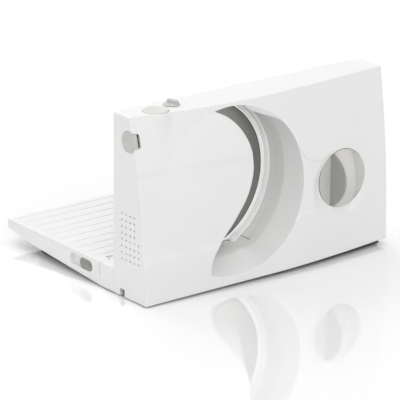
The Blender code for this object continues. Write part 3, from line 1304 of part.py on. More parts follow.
# The controls
def make_controls():
    top = HEIGHT + BUTTON_PROUD
    skirt = top - BUTTON_SKIRT
    profile = [
        (0, skirt),
        (BUTTON_RADIUS, skirt),
        (BUTTON_RADIUS, HEIGHT - SEAM),
        (BUTTON_RADIUS - BUTTON_EDGE, HEIGHT + BUTTON_EDGE / 2),
        (BUTTON_RADIUS / 2, top - SEAM),
        (0, top),
    ]
    button = turned("start_button", "Z", (BOSS_X, BUTTON_Y, 0), profile, CIRCLE_POINTS)
    stem = (BOSS_X, BUTTON_Y, skirt - STEM_LENGTH)
    join(button, rod("button_stem", "Z", stem, STEM_LENGTH + SLACK, STEM_RADIUS, sides=SMALL_SIDES))
    finish(button, "grey plastic")
    disc_floor = HEIGHT + SEAM
    disc = rod("selector", "Z", (SELECTOR_X, SELECTOR_Y, disc_floor), SELECTOR_THICK, SELECTOR_RADIUS)
    bar_top = disc_floor + SELECTOR_THICK + SELECTOR_BAR_HEIGHT
    half_width, half_length = SELECTOR_BAR_WIDTH / 2, SELECTOR_BAR_LENGTH / 2
    bar = box("bar", (SELECTOR_BAR_OFF - half_width, -half_length, disc_floor + SEAM), (SELECTOR_BAR_OFF + half_width, half_length, bar_top))
    bar.data.transform(Matrix.Translation((SELECTOR_X, SELECTOR_Y, 0)) @ Matrix.Rotation(SELECTOR_REST, 4, "Z"))
    stem = (SELECTOR_X, SELECTOR_Y, disc_floor - SELECTOR_STEM_LENGTH)
    join(disc, bar, rod("selector_stem", "Z", stem, SELECTOR_STEM_LENGTH + SLACK, SELECTOR_STEM, sides=SMALL_SIDES))
    finish(disc, "grey plastic")
    lock = half_moon("lock_button", 0.0, 0, LOCK_DEPTH)
    keep(lock, body("lock_limit"))
    stem = rod("lock_stem", "X", (LOCK_DEPTH - SLACK, LOCK_Y, LOCK_Z), LOCK_STEM_LENGTH, LOCK_STEM_RADIUS, sides=SMALL_SIDES)
    join(lock, stem)
    ball = (LOCK_DISH_RADIUS**2 + LOCK_DISH_DEPTH**2) / (2 * LOCK_DISH_DEPTH)
    dish = [(0, 0)]
    for share in np.linspace(0, 1, DOME_RINGS):
        radius = LOCK_DISH_RADIUS * share * LOCK_DISH_REACH
        dish.append((radius, LOCK_DISH_DEPTH - ball + math.sqrt(ball**2 - radius**2)))
    dish = dish[1:] + [(LOCK_DISH_RADIUS * LOCK_DISH_REACH, -OVERRUN), (0, -OVERRUN)]
    cut(lock, turned("lock_dish", "X", (0, LOCK_DISH_Y, LOCK_Z), dish, SMALL_SIDES))
    finish(lock, "grey plastic")
    block = box(
        "start_switch",
        (BOSS_X - SWITCH_HALF, BUTTON_Y - SWITCH_DEPTH, CARRIER_FLOOR + CARRIER_WALL + SEAM),
        (BOSS_X + SWITCH_HALF, BUTTON_Y + SWITCH_DEPTH, SWITCH_TOP),
    )
    finish(block, "dark plastic")
    rotary_low = (SELECTOR_X - ROTARY_HALF, SELECTOR_Y - ROTARY_HALF, ROTARY_FLOOR)
    rotary_high = (SELECTOR_X + ROTARY_HALF, SELECTOR_Y + ROTARY_HALF, HEIGHT - WALL - SEAM)
    rotary = box("selector_switch", rotary_low, rotary_high)
    cut(rotary, rod("rotary_bore", "Z", (SELECTOR_X, SELECTOR_Y, ROTARY_FLOOR + ROTARY_WALL), HEIGHT, SELECTOR_STEM + SEAM, sides=SMALL_SIDES))
    finish(rotary, "dark plastic")
    pan_face = -PAN_FLOOR - PAN_WALL - SEAM
    carrier = box(
        "switch_carrier", (CARRIER_LEFT, -CARRIER_FRONT, CARRIER_FLOOR), (CARRIER_RIGHT, pan_face, CARRIER_FLOOR + CARRIER_WALL)
    )
    back = box(
        "carrier_back",
        (CARRIER_PAN_LEFT, pan_face - CARRIER_WALL, CARRIER_LOW),
        (CARRIER_RIGHT, pan_face, CARRIER_FLOOR + CARRIER_WALL),
    )
    lug = box(
        "carrier_lug",
        (CARRIER_LEFT, LOCK_Y - LOCK_STEM_RADIUS - SWITCH_MARGIN, CARRIER_FLOOR),
        (CARRIER_LEFT + CARRIER_WALL, LOCK_Y + LOCK_STEM_RADIUS + CARRIER_WALL, LOCK_Z + LOCK_STEM_RADIUS + CARRIER_WALL),
    )
    join(carrier, back, lug)
    cut(carrier, rod("lug_hole", "X", (0, LOCK_Y, LOCK_Z), BOSS_X, LOCK_STEM_RADIUS + SEAM, sides=SMALL_SIDES))
    finish(carrier, "gear plastic")
    return [button, disc, lock, block, rotary, carrier]


# The folding table
def table_outline():
    near = HINGE_Y - KNUCKLE_RADIUS
    rounded = arc(HINGE_Y, HINGE_Z, KNUCKLE_RADIUS, math.pi, math.pi / 2, SMALL_SIDES // 2)
    far = [(TABLE_REACH, TABLE_TOP), (TABLE_REACH, TABLE_TOP - TABLE_END_THICK)]
    return [(near, TABLE_LOW)] + rounded + far + [(TABLE_KNEE_Y, TABLE_KNEE_Z)]


def stadium(low_y, high_y, z, half):
    left = arc(low_y + half, z, half, TURN * 3 / 4, TURN / 4, SMALL_SIDES // 2)
    right = arc(high_y - half, z, half, TURN / 4, -TURN / 4, SMALL_SIDES // 2)
    return left + right


def make_table():
    made = plate("folding_table", "YZ", table_outline(), 0, WIDTH)
    inside = [
        (TABLE_POCKET_NEAR, -OVERRUN),
        (TABLE_POCKET_NEAR, TABLE_TOP - TABLE_SKIN),
        (TABLE_REACH - TABLE_SKIRT, TABLE_TOP - TABLE_SKIN),
        (TABLE_REACH - TABLE_SKIRT, -OVERRUN),
    ]
    cut(made, plate("table_hollow", "YZ", inside, TABLE_SKIRT, WIDTH - TABLE_SKIRT))
    block_low = (TABLE_SKIRT / 2, LATCH_NEAR - LATCH_FRAME, LATCH_Z - LATCH_HALF - LATCH_FRAME)
    block_high = (LATCH_BLOCK, LATCH_FAR + LATCH_FRAME, TABLE_TOP - TABLE_SKIN / 2)
    join(made, box("latch_block", block_low, block_high))
    recess = stadium(LATCH_NEAR, LATCH_FAR, LATCH_Z, LATCH_HALF)
    cut(made, plate("latch_recess", "YZ", recess, -OVERRUN, LATCH_POCKET))
    for x in EAR_PLACES:
        low = (x - SLACK, 0, -OVERRUN)
        cut(made, box("ear_slot", low, (x + EAR_WIDTH + SLACK, EAR_SLOT_FAR, HEIGHT)))
        bore = (x - HINGE_PIN_OVERHANG - SEAM, HINGE_Y, HINGE_Z)
        reach = EAR_WIDTH + 2 * (HINGE_PIN_OVERHANG + SEAM)
        cut(made, rod("hinge_bore", "X", bore, reach, HINGE_PIN_RADIUS + BORE_SLACK, sides=SMALL_SIDES))
    groove_low = (-OVERRUN, 0, SIDE_SLOT_LOW)
    cut(made, box("side_slot", groove_low, (SIDE_SLOT_DEPTH, HINGE_Y - KNUCKLE_RADIUS + SIDE_SLOT_WIDTH, SIDE_SLOT_HIGH)))
    for rib in range(RIB_COUNT):
        y = RIB_FIRST_Y + rib * RIB_PITCH
        low = (RIB_MARGIN, y - RIB_GROOVE / 2, TABLE_TOP - RIB_DEPTH)
        cut(made, box("rib_groove", low, (WIDTH - RIB_MARGIN, y + RIB_GROOVE / 2, HEIGHT)))
    return finish(made, "white plastic")


def make_support():
    """The dark stand under the table: an open box that slopes in towards the floor."""
    ceiling = TABLE_TOP - TABLE_SKIN - SEAM
    outline = [
        (SUPPORT_NEAR, SUPPORT_BOTTOM),
        (SUPPORT_FAR - SUPPORT_SLANT, SUPPORT_BOTTOM),
        (SUPPORT_FAR, ceiling),
        (SUPPORT_NEAR, ceiling),
    ]
    made = plate("table_support", "YZ", outline, SUPPORT_INSET, WIDTH - SUPPORT_INSET)
    floor = SUPPORT_BOTTOM + SUPPORT_WALL
    hollow = [
        (SUPPORT_NEAR + SUPPORT_WALL, floor),
        (SUPPORT_FAR - SUPPORT_SLANT - SUPPORT_WALL, floor),
        (SUPPORT_FAR - SUPPORT_WALL, HEIGHT / 2),
        (SUPPORT_NEAR + SUPPORT_WALL, HEIGHT / 2),
    ]
    cut(made, plate("support_hollow", "YZ", hollow, SUPPORT_INSET + SUPPORT_WALL, WIDTH - SUPPORT_INSET - SUPPORT_WALL))
    for x in (TABLE_FOOT_X, WIDTH - TABLE_FOOT_X):
        place = (x, TABLE_FOOT_Y, -OVERRUN)
        cut(made, rod("table_foot_pocket", "Z", place, SUPPORT_BOTTOM + FOOT_POCKET + OVERRUN, FOOT_RADIUS + SEAM, sides=SMALL_SIDES))
    return finish(made, "dark plastic")


def make_latch():
    near = LATCH_NEAR + SEAM
    outline = stadium(near, near + LATCH_LENGTH, LATCH_Z, LATCH_HALF - SEAM)
    made = plate("table_latch", "YZ", outline, SLACK, LATCH_POCKET - SEAM)
    cup_y = near + LATCH_CUP_SHARE * LATCH_LENGTH
    ball = (LATCH_CUP_RADIUS**2 + LATCH_CUP_DEPTH**2) / (2 * LATCH_CUP_DEPTH)
    profile = []
    for share in np.linspace(0, 1, DOME_RINGS):
        radius = LATCH_CUP_RADIUS * share
        profile.append((radius, LATCH_CUP_DEPTH - ball + math.sqrt(ball**2 - radius**2)))
    profile += [(LATCH_CUP_RADIUS, -OVERRUN), (0, -OVERRUN)]
    cup = turned("latch_cup", "X", (0, 0, 0), profile, SIDES)
    cup.data.transform(Matrix.Translation((SLACK, cup_y, LATCH_Z)) @ Matrix.Diagonal((1, LATCH_CUP_STRETCH, 1, 1)))
    cut(made, cup)
    return finish(made, "grey plastic")


def make_hinge_pins():
    made = []
    for name, x in zip(("hinge_pin_left", "hinge_pin_right"), EAR_PLACES):
        start = (x - HINGE_PIN_OVERHANG, HINGE_Y, HINGE_Z)
        length = EAR_WIDTH + 2 * HINGE_PIN_OVERHANG
        made.append(finish(rod(name, "X", start, length, HINGE_PIN_RADIUS, sides=SMALL_SIDES), "steel"))
    return made


def pivot(made, place):
    """Puts a moving piece's origin on its joint axis."""
    made.data.transform(Matrix.Translation(-Vector(place)))
    made.location = Vector(place)
    return made


def assemble():
    """Makes every piece, puts moving ones on their axes and hangs all on the origin."""
    fixed = [make_housing_front(), make_housing_back(), make_base_plate()]
    fixed += make_feet()[:4] + make_screws()
    fixed += [make_spindle(), make_axle()]
    return fixed


def main():
    root = bpy.data.objects.new("food_slicer_origin", None)
    SLICER.objects.link(root)
    make_housing_front()
    make_housing_back()
    make_base_plate()
    feet = make_feet()
    make_screws()
    make_spindle()
    make_axle()
    make_rods()
    table_place = (0, HINGE_Y, HINGE_Z)
    for foot in feet[4:]:
        pivot(foot, table_place)
    pivot(make_table(), table_place)
    pivot(make_support(), table_place)
    latch = make_latch()
    pivot(latch, (0, LATCH_NEAR + LATCH_HALF, LATCH_Z))
    make_hinge_pins()
    blade_place = (BLADE_X, 0, BLADE_Z)
    for piece in (make_blade(), make_blade_gear(), make_blade_lock()):
        pivot(piece, blade_place)
    pivot(make_double_gear(), (IDLER_X, -WHEEL_FRONT, IDLER_Z))
    pivot(make_worm(), (MOTOR_X, MOTOR_Y, IDLER_Z))
    can, shaft, fan, cradle, bracket = make_motor()
    pivot(shaft, (MOTOR_X, MOTOR_Y, MOTOR_TOP))
    pivot(fan, (MOTOR_X, MOTOR_Y, MOTOR_TOP))
    pivot(make_gauge_plate(), (KNOB_X, 0, KNOB_Z))
    for piece in make_knob():
        pivot(piece, (KNOB_X, -KNOB_SEAT, KNOB_Z))
    button, selector, lock, switch, rotary, carrier = make_controls()
    pivot(button, (BOSS_X, BUTTON_Y, HEIGHT))
    pivot(selector, (SELECTOR_X, SELECTOR_Y, HEIGHT))
    pivot(lock, (0, LOCK_Y, LOCK_Z))
    front = KNOB_FRONT + KNOB_CROWN
    root.location = (-WIDTH / 2, -(TABLE_REACH - front) / 2, 0)
    for piece in SLICER.objects:
        if piece is not root:
            piece.parent = root


main()
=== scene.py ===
# %% [markdown]
# # A folding food slicer
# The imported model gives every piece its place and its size. This script gives the pieces
# their moulded surfaces, their finishes and their light. It starts by loading that model
# as a fixed frame, and everything below is placed from it.

import json
import math

import bmesh
import bpy
import numpy as np
from mathutils import Matrix, Vector

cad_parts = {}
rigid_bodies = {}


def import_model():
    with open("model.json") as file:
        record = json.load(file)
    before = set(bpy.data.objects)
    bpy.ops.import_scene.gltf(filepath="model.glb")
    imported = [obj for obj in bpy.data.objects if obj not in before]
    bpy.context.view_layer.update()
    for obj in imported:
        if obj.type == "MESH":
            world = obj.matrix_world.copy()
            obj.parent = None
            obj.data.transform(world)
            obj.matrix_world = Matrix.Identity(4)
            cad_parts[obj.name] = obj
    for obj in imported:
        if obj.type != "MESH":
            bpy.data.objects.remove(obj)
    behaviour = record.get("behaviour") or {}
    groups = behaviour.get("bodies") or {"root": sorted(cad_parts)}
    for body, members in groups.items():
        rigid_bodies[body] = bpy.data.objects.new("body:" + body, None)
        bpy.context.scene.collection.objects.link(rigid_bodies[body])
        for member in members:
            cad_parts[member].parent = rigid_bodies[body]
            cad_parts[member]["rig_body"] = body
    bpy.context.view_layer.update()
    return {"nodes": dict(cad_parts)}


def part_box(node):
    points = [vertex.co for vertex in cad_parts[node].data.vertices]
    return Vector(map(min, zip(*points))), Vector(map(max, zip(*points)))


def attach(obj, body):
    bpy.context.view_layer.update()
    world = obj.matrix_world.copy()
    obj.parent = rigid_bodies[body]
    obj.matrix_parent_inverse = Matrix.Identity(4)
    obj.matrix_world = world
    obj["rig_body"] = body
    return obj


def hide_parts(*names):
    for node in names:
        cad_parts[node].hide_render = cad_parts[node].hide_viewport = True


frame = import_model()
shell_low, shell_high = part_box("housing_front")
ORIGIN = np.array([shell_low[0], shell_high[1], 0.0])

# %% [markdown]
# ## Bench coordinates
# On the bench, X runs right from the housing's left side, Y runs back from the front
# towards the table with zero at the housing's back plane, and Z runs up from the floor.
# The main sizes below are the real ones, in metres.

# %% Main sizes
WIDTH = 0.335
HEIGHT = 0.2014
FACE_DEPTH = 0.0630
TOP_DEPTH = 0.0483
TOP_PLACES = np.array([0.0, 0.17, 0.24, 0.42, 0.68, 1.0])
TOP_SHARES = np.array([0.556, 0.79, 0.875, 1.0, 0.950, 0.772])
LOW_PLACES = np.array([0.0, 0.21, 0.37, 0.58, 0.8, 1.0])
LOW_SHARES = np.array([0.895, 0.932, 0.962, 1.0, 0.955, 0.862])
LEAN_POWER = 2.1
LIFT_LEFT, LIFT_RIGHT = 0.0011, 0.0064
CORNER = 0.012
EDGE = 0.0011
RIM = 0.0026
TURN = 2 * math.pi
BLADE = np.array([0.112, 0.108])
RING = np.array([0.119, 0.1045])
RING_RADIUS = 0.0925
KNOB = np.array([0.2676, 0.0903])
BUTTON = np.array([0.0369, -0.0236])
LOCK = np.array([-0.0260, 0.1745])
GROOVE_FLOOR = 0.0275
EAR_SLOT_END = 0.0362


# %% [markdown]
# ## From numbers to meshes
# Every new surface is a grid of points worked out with numpy. A weld turns a list of
# such grids into one mesh, and joins the borders that two grids share, so that the
# shading runs across them without a seam. A hole is cut out of a finished mesh.

# %% Weld grids into one piece
def smooth_step(low, high, value):
    """0 below low, 1 above high, and 3t^2 - 2t^3 between them."""
    t = np.clip((value - low) / (high - low), 0, 1)
    return t * t * (3 - 2 * t)


def smooth_max(a, b, width):
    """The larger of two fields, with the corner between them rounded over a width."""
    h = np.clip(width - np.abs(a - b), 0, None) / width
    return np.maximum(a, b) + h * h * width / 4


def smooth_min(a, b, width):
    return -smooth_max(-a, -b, width)


def ruled(first, last, count):
    """Rows of points that run straight from one curve to another.

    The count may also be a list of shares, for rows that aren't evenly spaced.
    """
    t = (np.linspace(0, 1, count) if np.isscalar(count) else count)[:, None, None]
    return (1 - t) * first + t * last


def weld(grids):
    """Points and triangles of several grids, with equal points made one."""
    points, faces, start = [], [], 0
    for grid in grids:
        rows, columns = grid.shape[:2]
        index = start + np.arange(rows * columns).reshape(rows, columns)
        a, b = index[:-1, :-1].ravel(), index[:-1, 1:].ravel()
        c, d = index[1:, 1:].ravel(), index[1:, :-1].ravel()
        faces += [np.stack([a, b, c], -1), np.stack([a, c, d], -1)]
        points.append(grid.reshape(-1, 3))
        start += rows * columns
    points, faces = np.concatenate(points), np.concatenate(faces)
    rounded_off = np.round(points, 6)
    _, first, back = np.unique(rounded_off, axis=0, return_index=True, return_inverse=True)
    faces = back.reshape(-1)[faces]
    one, two, three = faces.T
    return points[first], faces[(one != two) & (two != three) & (one != three)]


def edges_of(faces):
    return np.concatenate([faces[:, [0, 1]], faces[:, [1, 2]], faces[:, [2, 0]]])


def pierce(points, faces, field, rim):
    """Cuts the place where a signed field is negative out of a triangle mesh.

    Each edge that crosses the outline has its nearer end moved onto it, against the
    field's gradient, and then the triangles inside are dropped. The rim is a vector, or a
    function that gives one for each point: the cut's border is carried along it, which
    gives the wall its thickness.
    """
    points = points.copy()
    values = field(points)
    step, touch, least_slope, passes = 1e-6, 1e-7, 0.2, 6
    on_line = np.zeros(len(points), bool)
    a, b = edges_of(faces).T
    for _ in range(passes):
        crossing = values[a] * values[b] < 0
        if not crossing.any():
            break
        near = np.unique(np.where(np.abs(values[a]) < np.abs(values[b]), a, b)[crossing])
        place = points[near]
        rises = [field(place + step * axis) - values[near] for axis in np.eye(3)]
        slope = np.stack(rises, -1) / step
        squared = np.maximum((slope**2).sum(-1, keepdims=True), least_slope)
        points[near] = place - values[near][:, None] * slope / squared
        values[near] = 0
        on_line[near] = True
    inside = values[faces].min(1) < -touch
    level = (np.abs(values[faces]) <= touch).all(1)
    centre = field(points[faces].mean(1)) < 0
    faces = faces[~(inside | (level & centre))]
    edges = edges_of(faces)
    key = np.sort(edges, 1)
    _, back, count = np.unique(key, axis=0, return_inverse=True, return_counts=True)
    single = edges[count[back.reshape(-1)] == 1]
    single = single[on_line[single].all(1)]
    used = np.unique(single)
    lower = np.full(len(points), -1)
    lower[used] = len(points) + np.arange(len(used))
    shift = rim(points[used]) if callable(rim) else np.array(rim)
    points = np.concatenate([points, points[used] + shift])
    a, b = single.T
    upper_walls = np.stack([b, a, lower[a]], -1)
    lower_walls = np.stack([b, lower[a], lower[b]], -1)
    return points, np.concatenate([faces, upper_walls, lower_walls])


WELD_DISTANCE = 2e-6


def enter(name, mesh, crease=40):
    """A mesh as an object of the scene, shaded smooth but for its creases."""
    made = bpy.data.objects.new(name, mesh)
    bpy.context.scene.collection.objects.link(made)
    mesh.shade_smooth()
    mesh.set_sharp_from_angle(angle=math.radians(crease))
    return made


def piece(name, points, faces, body, finish, slot, replaces=(), facing=(0, -1, 0), crease=40):
    """A welded mesh as an object in the model's frame, facing outwards, dressed and riding."""
    mesh = bpy.data.meshes.new(name)
    mesh.from_pydata((points + ORIGIN).tolist(), [], faces.tolist())
    shape = bmesh.new()
    shape.from_mesh(mesh)
    bmesh.ops.remove_doubles(shape, verts=shape.verts, dist=WELD_DISTANCE)
    loose = [vertex for vertex in shape.verts if not vertex.link_faces]
    bmesh.ops.delete(shape, geom=loose, context="VERTS")
    bmesh.ops.recalc_face_normals(shape, faces=shape.faces)
    shape.normal_update()
    way = Vector(facing)
    outer = sorted(shape.faces, key=lambda face: -face.calc_center_median().dot(way))[:40]
    if sum(face.normal.dot(way) * face.calc_area() for face in outer) < 0:
        bmesh.ops.reverse_faces(shape, faces=shape.faces)
    shape.to_mesh(mesh)
    shape.free()
    made = enter(name, mesh, crease)
    mesh.materials.append(finish)
    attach(made, body)
    if replaces:
        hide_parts(*replaces)


# %% [markdown]
# ## Shader maths
# A small class wraps a node socket, so that a pattern is written as a plain Python
# expression. Each operator adds one Math node. A second class holds a material, and its
# one method for any other node takes the node's settings and inputs.

# %% Node expressions
def feed(tree, place, value):
    """Links a value to an input socket, or sets the socket to a constant."""
    if isinstance(value, Value):
        tree.links.new(value.socket, place)
    else:
        place.default_value = value


class Value:
    """A socket that can be added, multiplied and mixed like a number."""

    def __init__(self, tree, socket):
        self.tree, self.socket = tree, socket

    def math(self, operation, other=None):
        node = self.tree.nodes.new("ShaderNodeMath")
        node.operation = operation
        for place, end in zip(node.inputs, (self, other)):
            if end is not None:
                feed(self.tree, place, end)
        return Value(self.tree, node.outputs[0])

    def __add__(self, other):
        return self.math("ADD", other)

    def __mul__(self, other):
        return self.math("MULTIPLY", other)

    def __sub__(self, other):
        return self.math("SUBTRACT", other)

    def clamped(self):
        """The value kept between 0 and 1."""
        return self.math("MAXIMUM", 0.0).math("MINIMUM", 1.0)

    __radd__ = __add__


class Finish:
    """A material with one Principled shader, and methods that add nodes to it."""

    def __init__(self, name, colour, roughness, metallic=0.0, shine=0.5):
        self.material = bpy.data.materials.new(name)
        self.material.use_nodes = True
        self.tree = self.material.node_tree
        self.shader = self.tree.nodes["Principled BSDF"]
        self.put("Base Color", (*colour, 1.0))
        self.put("Roughness", roughness)
        self.put("Metallic", metallic)
        self.put("Specular IOR Level", shine)

    def put(self, socket, value):
        """Feeds one input of the Principled shader."""
        feed(self.tree, self.shader.inputs[socket], value)

    def node(self, kind, settings=None, inputs=None, output=0):
        """Any node: its settings are set first, then the values or links of its sockets."""
        made = self.tree.nodes.new(kind)
        for key, value in (settings or {}).items():
            setattr(made, key, value)
        for key, value in (inputs or {}).items():
            feed(self.tree, made.inputs[key], value)
        return Value(self.tree, made.outputs[output])

    def place(self):
        return self.node("ShaderNodeTexCoord", output="Object")

    def noise(self, scale, detail):
        inputs = {"Vector": self.place(), "Scale": scale, "Detail": detail}
        return self.node("ShaderNodeTexNoise", inputs=inputs, output="Fac")

    def bump(self, height, distance):
        inputs = {"Height": height, "Distance": distance}
        self.put("Normal", self.node("ShaderNodeBump", inputs=inputs, output="Normal"))

    def blend(self, share, first, second):
        """A colour that goes from the first to the second as the share goes from 0 to 1."""
        ends = [end if isinstance(end, Value) else (*end, 1.0) for end in (first, second)]
        inputs = {0: share, 6: ends[0], 7: ends[1]}
        return self.node("ShaderNodeMix", {"data_type": "RGBA"}, inputs, output=2)


# %% [markdown]
# ## Plastics
# The housing is an off-white plastic from a spark-eroded mould: satin, with a grain far
# finer than a millimetre, and cloudy patches so faint that they only stop it looking
# drawn. The knob and the buttons are warm greys of the same kind, and the lip beside the
# blade is a smoother and brighter white.
# The knob's grip flanks carry painted shade, a darker grey on its sideways faces, and the
# latch's grey is darkened as painted shade of its finger recess.

# %% Moulded plastic
SHINE = 0.45
GRAIN = 0.00002
GRAIN_SCALE = 2600.0
CLOUD_SCALE = 24.0
CLOUD_SHARE = 0.012


def grained(made, base, gain, grain=GRAIN):
    """Fine grain in the normal and in the roughness, with faint clouds, which it gives."""
    clouds, fine = made.noise(CLOUD_SCALE, 3.0), made.noise(GRAIN_SCALE, 1.0)
    made.put("Roughness", base + clouds * gain + fine * 0.04)
    made.bump(fine + clouds * 0.3, grain)
    return clouds


def moulded(name, colour, roughness, grain=GRAIN):
    """Satin plastic with its grain, and with faint clouds in its colour too."""
    made = Finish(name, colour, roughness, shine=SHINE)
    clouds = grained(made, roughness - 0.05, 0.08, grain)
    light = tuple(min(c * (1 + CLOUD_SHARE), 1.0) for c in colour)
    dark = tuple(c * (1 - CLOUD_SHARE) for c in colour)
    made.put("Base Color", made.blend(clouds, dark, light))
    return made.material


WHITE = moulded("white moulded plastic", (0.80, 0.80, 0.795), 0.42)
BRIGHT = moulded("polished white plastic", (0.93, 0.93, 0.925), 0.25)
GREY = moulded("grey moulded plastic", (0.54, 0.53, 0.51), 0.38)
BUTTON_GREY = moulded("button plastic", (0.65, 0.637, 0.615), 0.36)
# The latch's grey is darkened as painted shade of its finger recess.
LATCH_GREY_PAINTED_SHADE = moulded("latch plastic darkened as painted shade", (0.27, 0.27, 0.255), 0.30)
DARK = moulded("black moulded plastic", (0.025, 0.025, 0.026), 0.5)
RUBBER = moulded("foot rubber", (0.02, 0.02, 0.02), 0.75, 2 * GRAIN)
ACETAL = moulded("gear plastic", (0.72, 0.69, 0.60), 0.4)


# The flank colour is painted shade: the grip's sideways faces are darkened to stand in for their
# shade.
KNOB_FACE, KNOB_FLANK_PAINTED_SHADE = (0.60, 0.59, 0.57), (0.33, 0.326, 0.315)
FLANK_SHADE_START, FLANK_SHADE_GAIN = 0.10, 1.5


def knob_plastic_with_painted_shade():
    """Grey plastic with painted shade: its sideways faces, the grip's flanks, take a darker
    grey.
    """
    made = Finish("knob plastic with painted shade", (0.58, 0.57, 0.55), 0.34, shine=SHINE)
    grained(made, 0.32, 0.06)
    way = made.node("ShaderNodeTexCoord", output="Normal")
    dot = {0: way, 1: (1, 0, 0)}
    side = made.node("ShaderNodeVectorMath", {"operation": "DOT_PRODUCT"}, dot, "Value")
    # Painted shade: the more a face looks sideways, the darker the grey it takes.
    painted_shade = ((side.math("ABSOLUTE") - FLANK_SHADE_START) * FLANK_SHADE_GAIN).clamped()
    made.put("Base Color", made.blend(painted_shade, KNOB_FACE, KNOB_FLANK_PAINTED_SHADE))
    return made.material


KNOB_GREY_PAINTED_SHADE = knob_plastic_with_painted_shade()

# %% [markdown]
# ## Metals
# The blade is stainless steel turned on a lathe: its fine rings follow the distance from
# the axis, so the pattern is a noise stretched round the axis. It is read in polar form
# from the Object coordinates, moved to the blade's centre by a Mapping node. The teeth
# look dark in this light, so the outermost 1.4 mm take a dark colour.

# %% Turned and plain steel
RINGS = 2600.0
RING_BUMP = 0.000012
TIP_START, TIP_GAIN = 0.0836, 4000.0
TIP_COLOUR = (0.06, 0.058, 0.055)


def turned_steel(name, colour, roughness, centre):
    """Steel with lathe rings: noise read at the radius from an axis along Y."""
    made = Finish(name, colour, roughness, 1.0)
    shift = {"Vector": made.place(), "Location": tuple(-centre)}
    moved = made.node("ShaderNodeMapping", inputs=shift)
    across = {0: moved, 1: (1, 0, 1)}
    flat = made.node("ShaderNodeVectorMath", {"operation": "MULTIPLY"}, across)
    radius = made.node("ShaderNodeVectorMath", {"operation": "LENGTH"}, {0: flat}, "Value")
    inputs = {"W": radius * RINGS, "Scale": 1.0, "Detail": 3.0}
    ring = made.node("ShaderNodeTexNoise", {"noise_dimensions": "1D"}, inputs, "Fac")
    wide = made.noise(60.0, 2.0)
    dark = tuple(c * 0.82 for c in colour)
    tip = ((radius - TIP_START) * TIP_GAIN).clamped()
    made.put("Base Color", made.blend(tip, made.blend(ring, dark, colour), TIP_COLOUR))
    made.put("Roughness", roughness - 0.06 + ring * 0.1 + wide * 0.05)
    made.bump(ring, RING_BUMP)
    return made.material


def plain_metal(name, colour, roughness):
    made = Finish(name, colour, roughness, 1.0)
    clouds = made.noise(120.0, 3.0)
    dark = tuple(c * 0.85 for c in colour)
    made.put("Base Color", made.blend(clouds, dark, colour))
    made.put("Roughness", roughness - 0.05 + clouds * 0.12)
    return made.material


BLADE_CENTRE = ORIGIN + np.array([BLADE[0], 0, BLADE[1]])
BLADE_STEEL = turned_steel("blade steel", (0.31, 0.30, 0.285), 0.34, BLADE_CENTRE)
STEEL = plain_metal("plain steel", (0.55, 0.55, 0.56), 0.33)
BRASS = plain_metal("turned brass", (0.66, 0.50, 0.24), 0.3)

# %% [markdown]
# ## The CAD pieces that stay
# Most of the inner and small pieces keep their own solids and only take a finish.

# %% Dress the carried-over pieces
CORNERS = ("front_left", "front_right", "back_left", "back_right")
SHAFTS = ["blade_spindle", "gear_axle", "motor_can", "motor_shaft", "knob_spindle"]
RODS = ["guide_rod_upper", "guide_rod_lower", "hinge_pin_left", "hinge_pin_right"]
SCREWS = ["back_screw_upper", "back_screw_lower", *(f"base_screw_{spot}" for spot in CORNERS)]
FEET = ["foot_table_left", "foot_table_right", *(f"foot_{spot}" for spot in CORNERS)]
DRESS = {
    STEEL: [*SHAFTS, *RODS, *SCREWS],
    BRASS: ["worm"],
    ACETAL: ["blade_gear", "double_gear", "bearing_bracket", "switch_carrier", "motor_cradle"],
    DARK: ["cooling_fan", "start_switch", "selector_switch"],
    RUBBER: FEET,
}
for finish, names in DRESS.items():
    for name in names:
        node = frame["nodes"][name]
        node.data.materials.clear()
        node.data.materials.append(finish)


# %% [markdown]
# ## Softened mouldings
# A moulded edge is never sharp. A piece whose form is already right is copied, welded,
# and given a Bevel on its hard edges, and the copy stands for the solid. Three of them
# differ a little from their solid: a corner of the blade's pan and the front of the
# gauge plate's lip are left out, and the table's grooves are shallower.

# %% Soften the simple mouldings
FLAT_ANGLE, HARD_ANGLE = 0.6, 35


def soften(node, name, finish, width, drop=None, move=None):
    """A copy of a node with its flat stretches merged and its hard edges rounded.

    Drop tells, for a place on the bench, whether that vertex is left out. Move gives a
    vertex its new place.
    """
    source = frame["nodes"][node]
    mesh = source.data.copy()
    mesh.name = name
    shape = bmesh.new()
    shape.from_mesh(mesh)
    bmesh.ops.remove_doubles(shape, verts=shape.verts, dist=WELD_DISTANCE)
    if drop is not None:
        gone = [vertex for vertex in shape.verts if drop(np.array(vertex.co) - ORIGIN)]
        bmesh.ops.delete(shape, geom=gone, context="VERTS")
    if move is not None:
        for vertex in shape.verts:
            vertex.co = Vector(move(np.array(vertex.co) - ORIGIN) + ORIGIN)
    flat = math.radians(FLAT_ANGLE)
    bmesh.ops.dissolve_limit(shape, angle_limit=flat, verts=shape.verts, edges=shape.edges)
    bmesh.ops.recalc_face_normals(shape, faces=shape.faces)
    shape.to_mesh(mesh)
    shape.free()
    mesh.materials.clear()
    mesh.materials.append(finish)
    made = enter(name, mesh)
    bevel = made.modifiers.new("rounded edges", "BEVEL")
    bevel.width = width
    bevel.segments = 2
    bevel.limit_method = "ANGLE"
    bevel.angle_limit = math.radians(HARD_ANGLE)
    bevel.use_clamp_overlap = True
    bevel.harden_normals = True
    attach(made, source["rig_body"])
    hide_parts(node)


PAN_FACE = -0.0140
PAN_BAND, PAN_SWEEP = (0.066, 0.0874), (-1.37, -1.14)
LIP_FACE, LIP_LIMIT = -0.0035, 0.0940
EAR_SLOT_CUT, GROOVE_FILL, NEAR = 0.0019, 0.00055, 0.0001


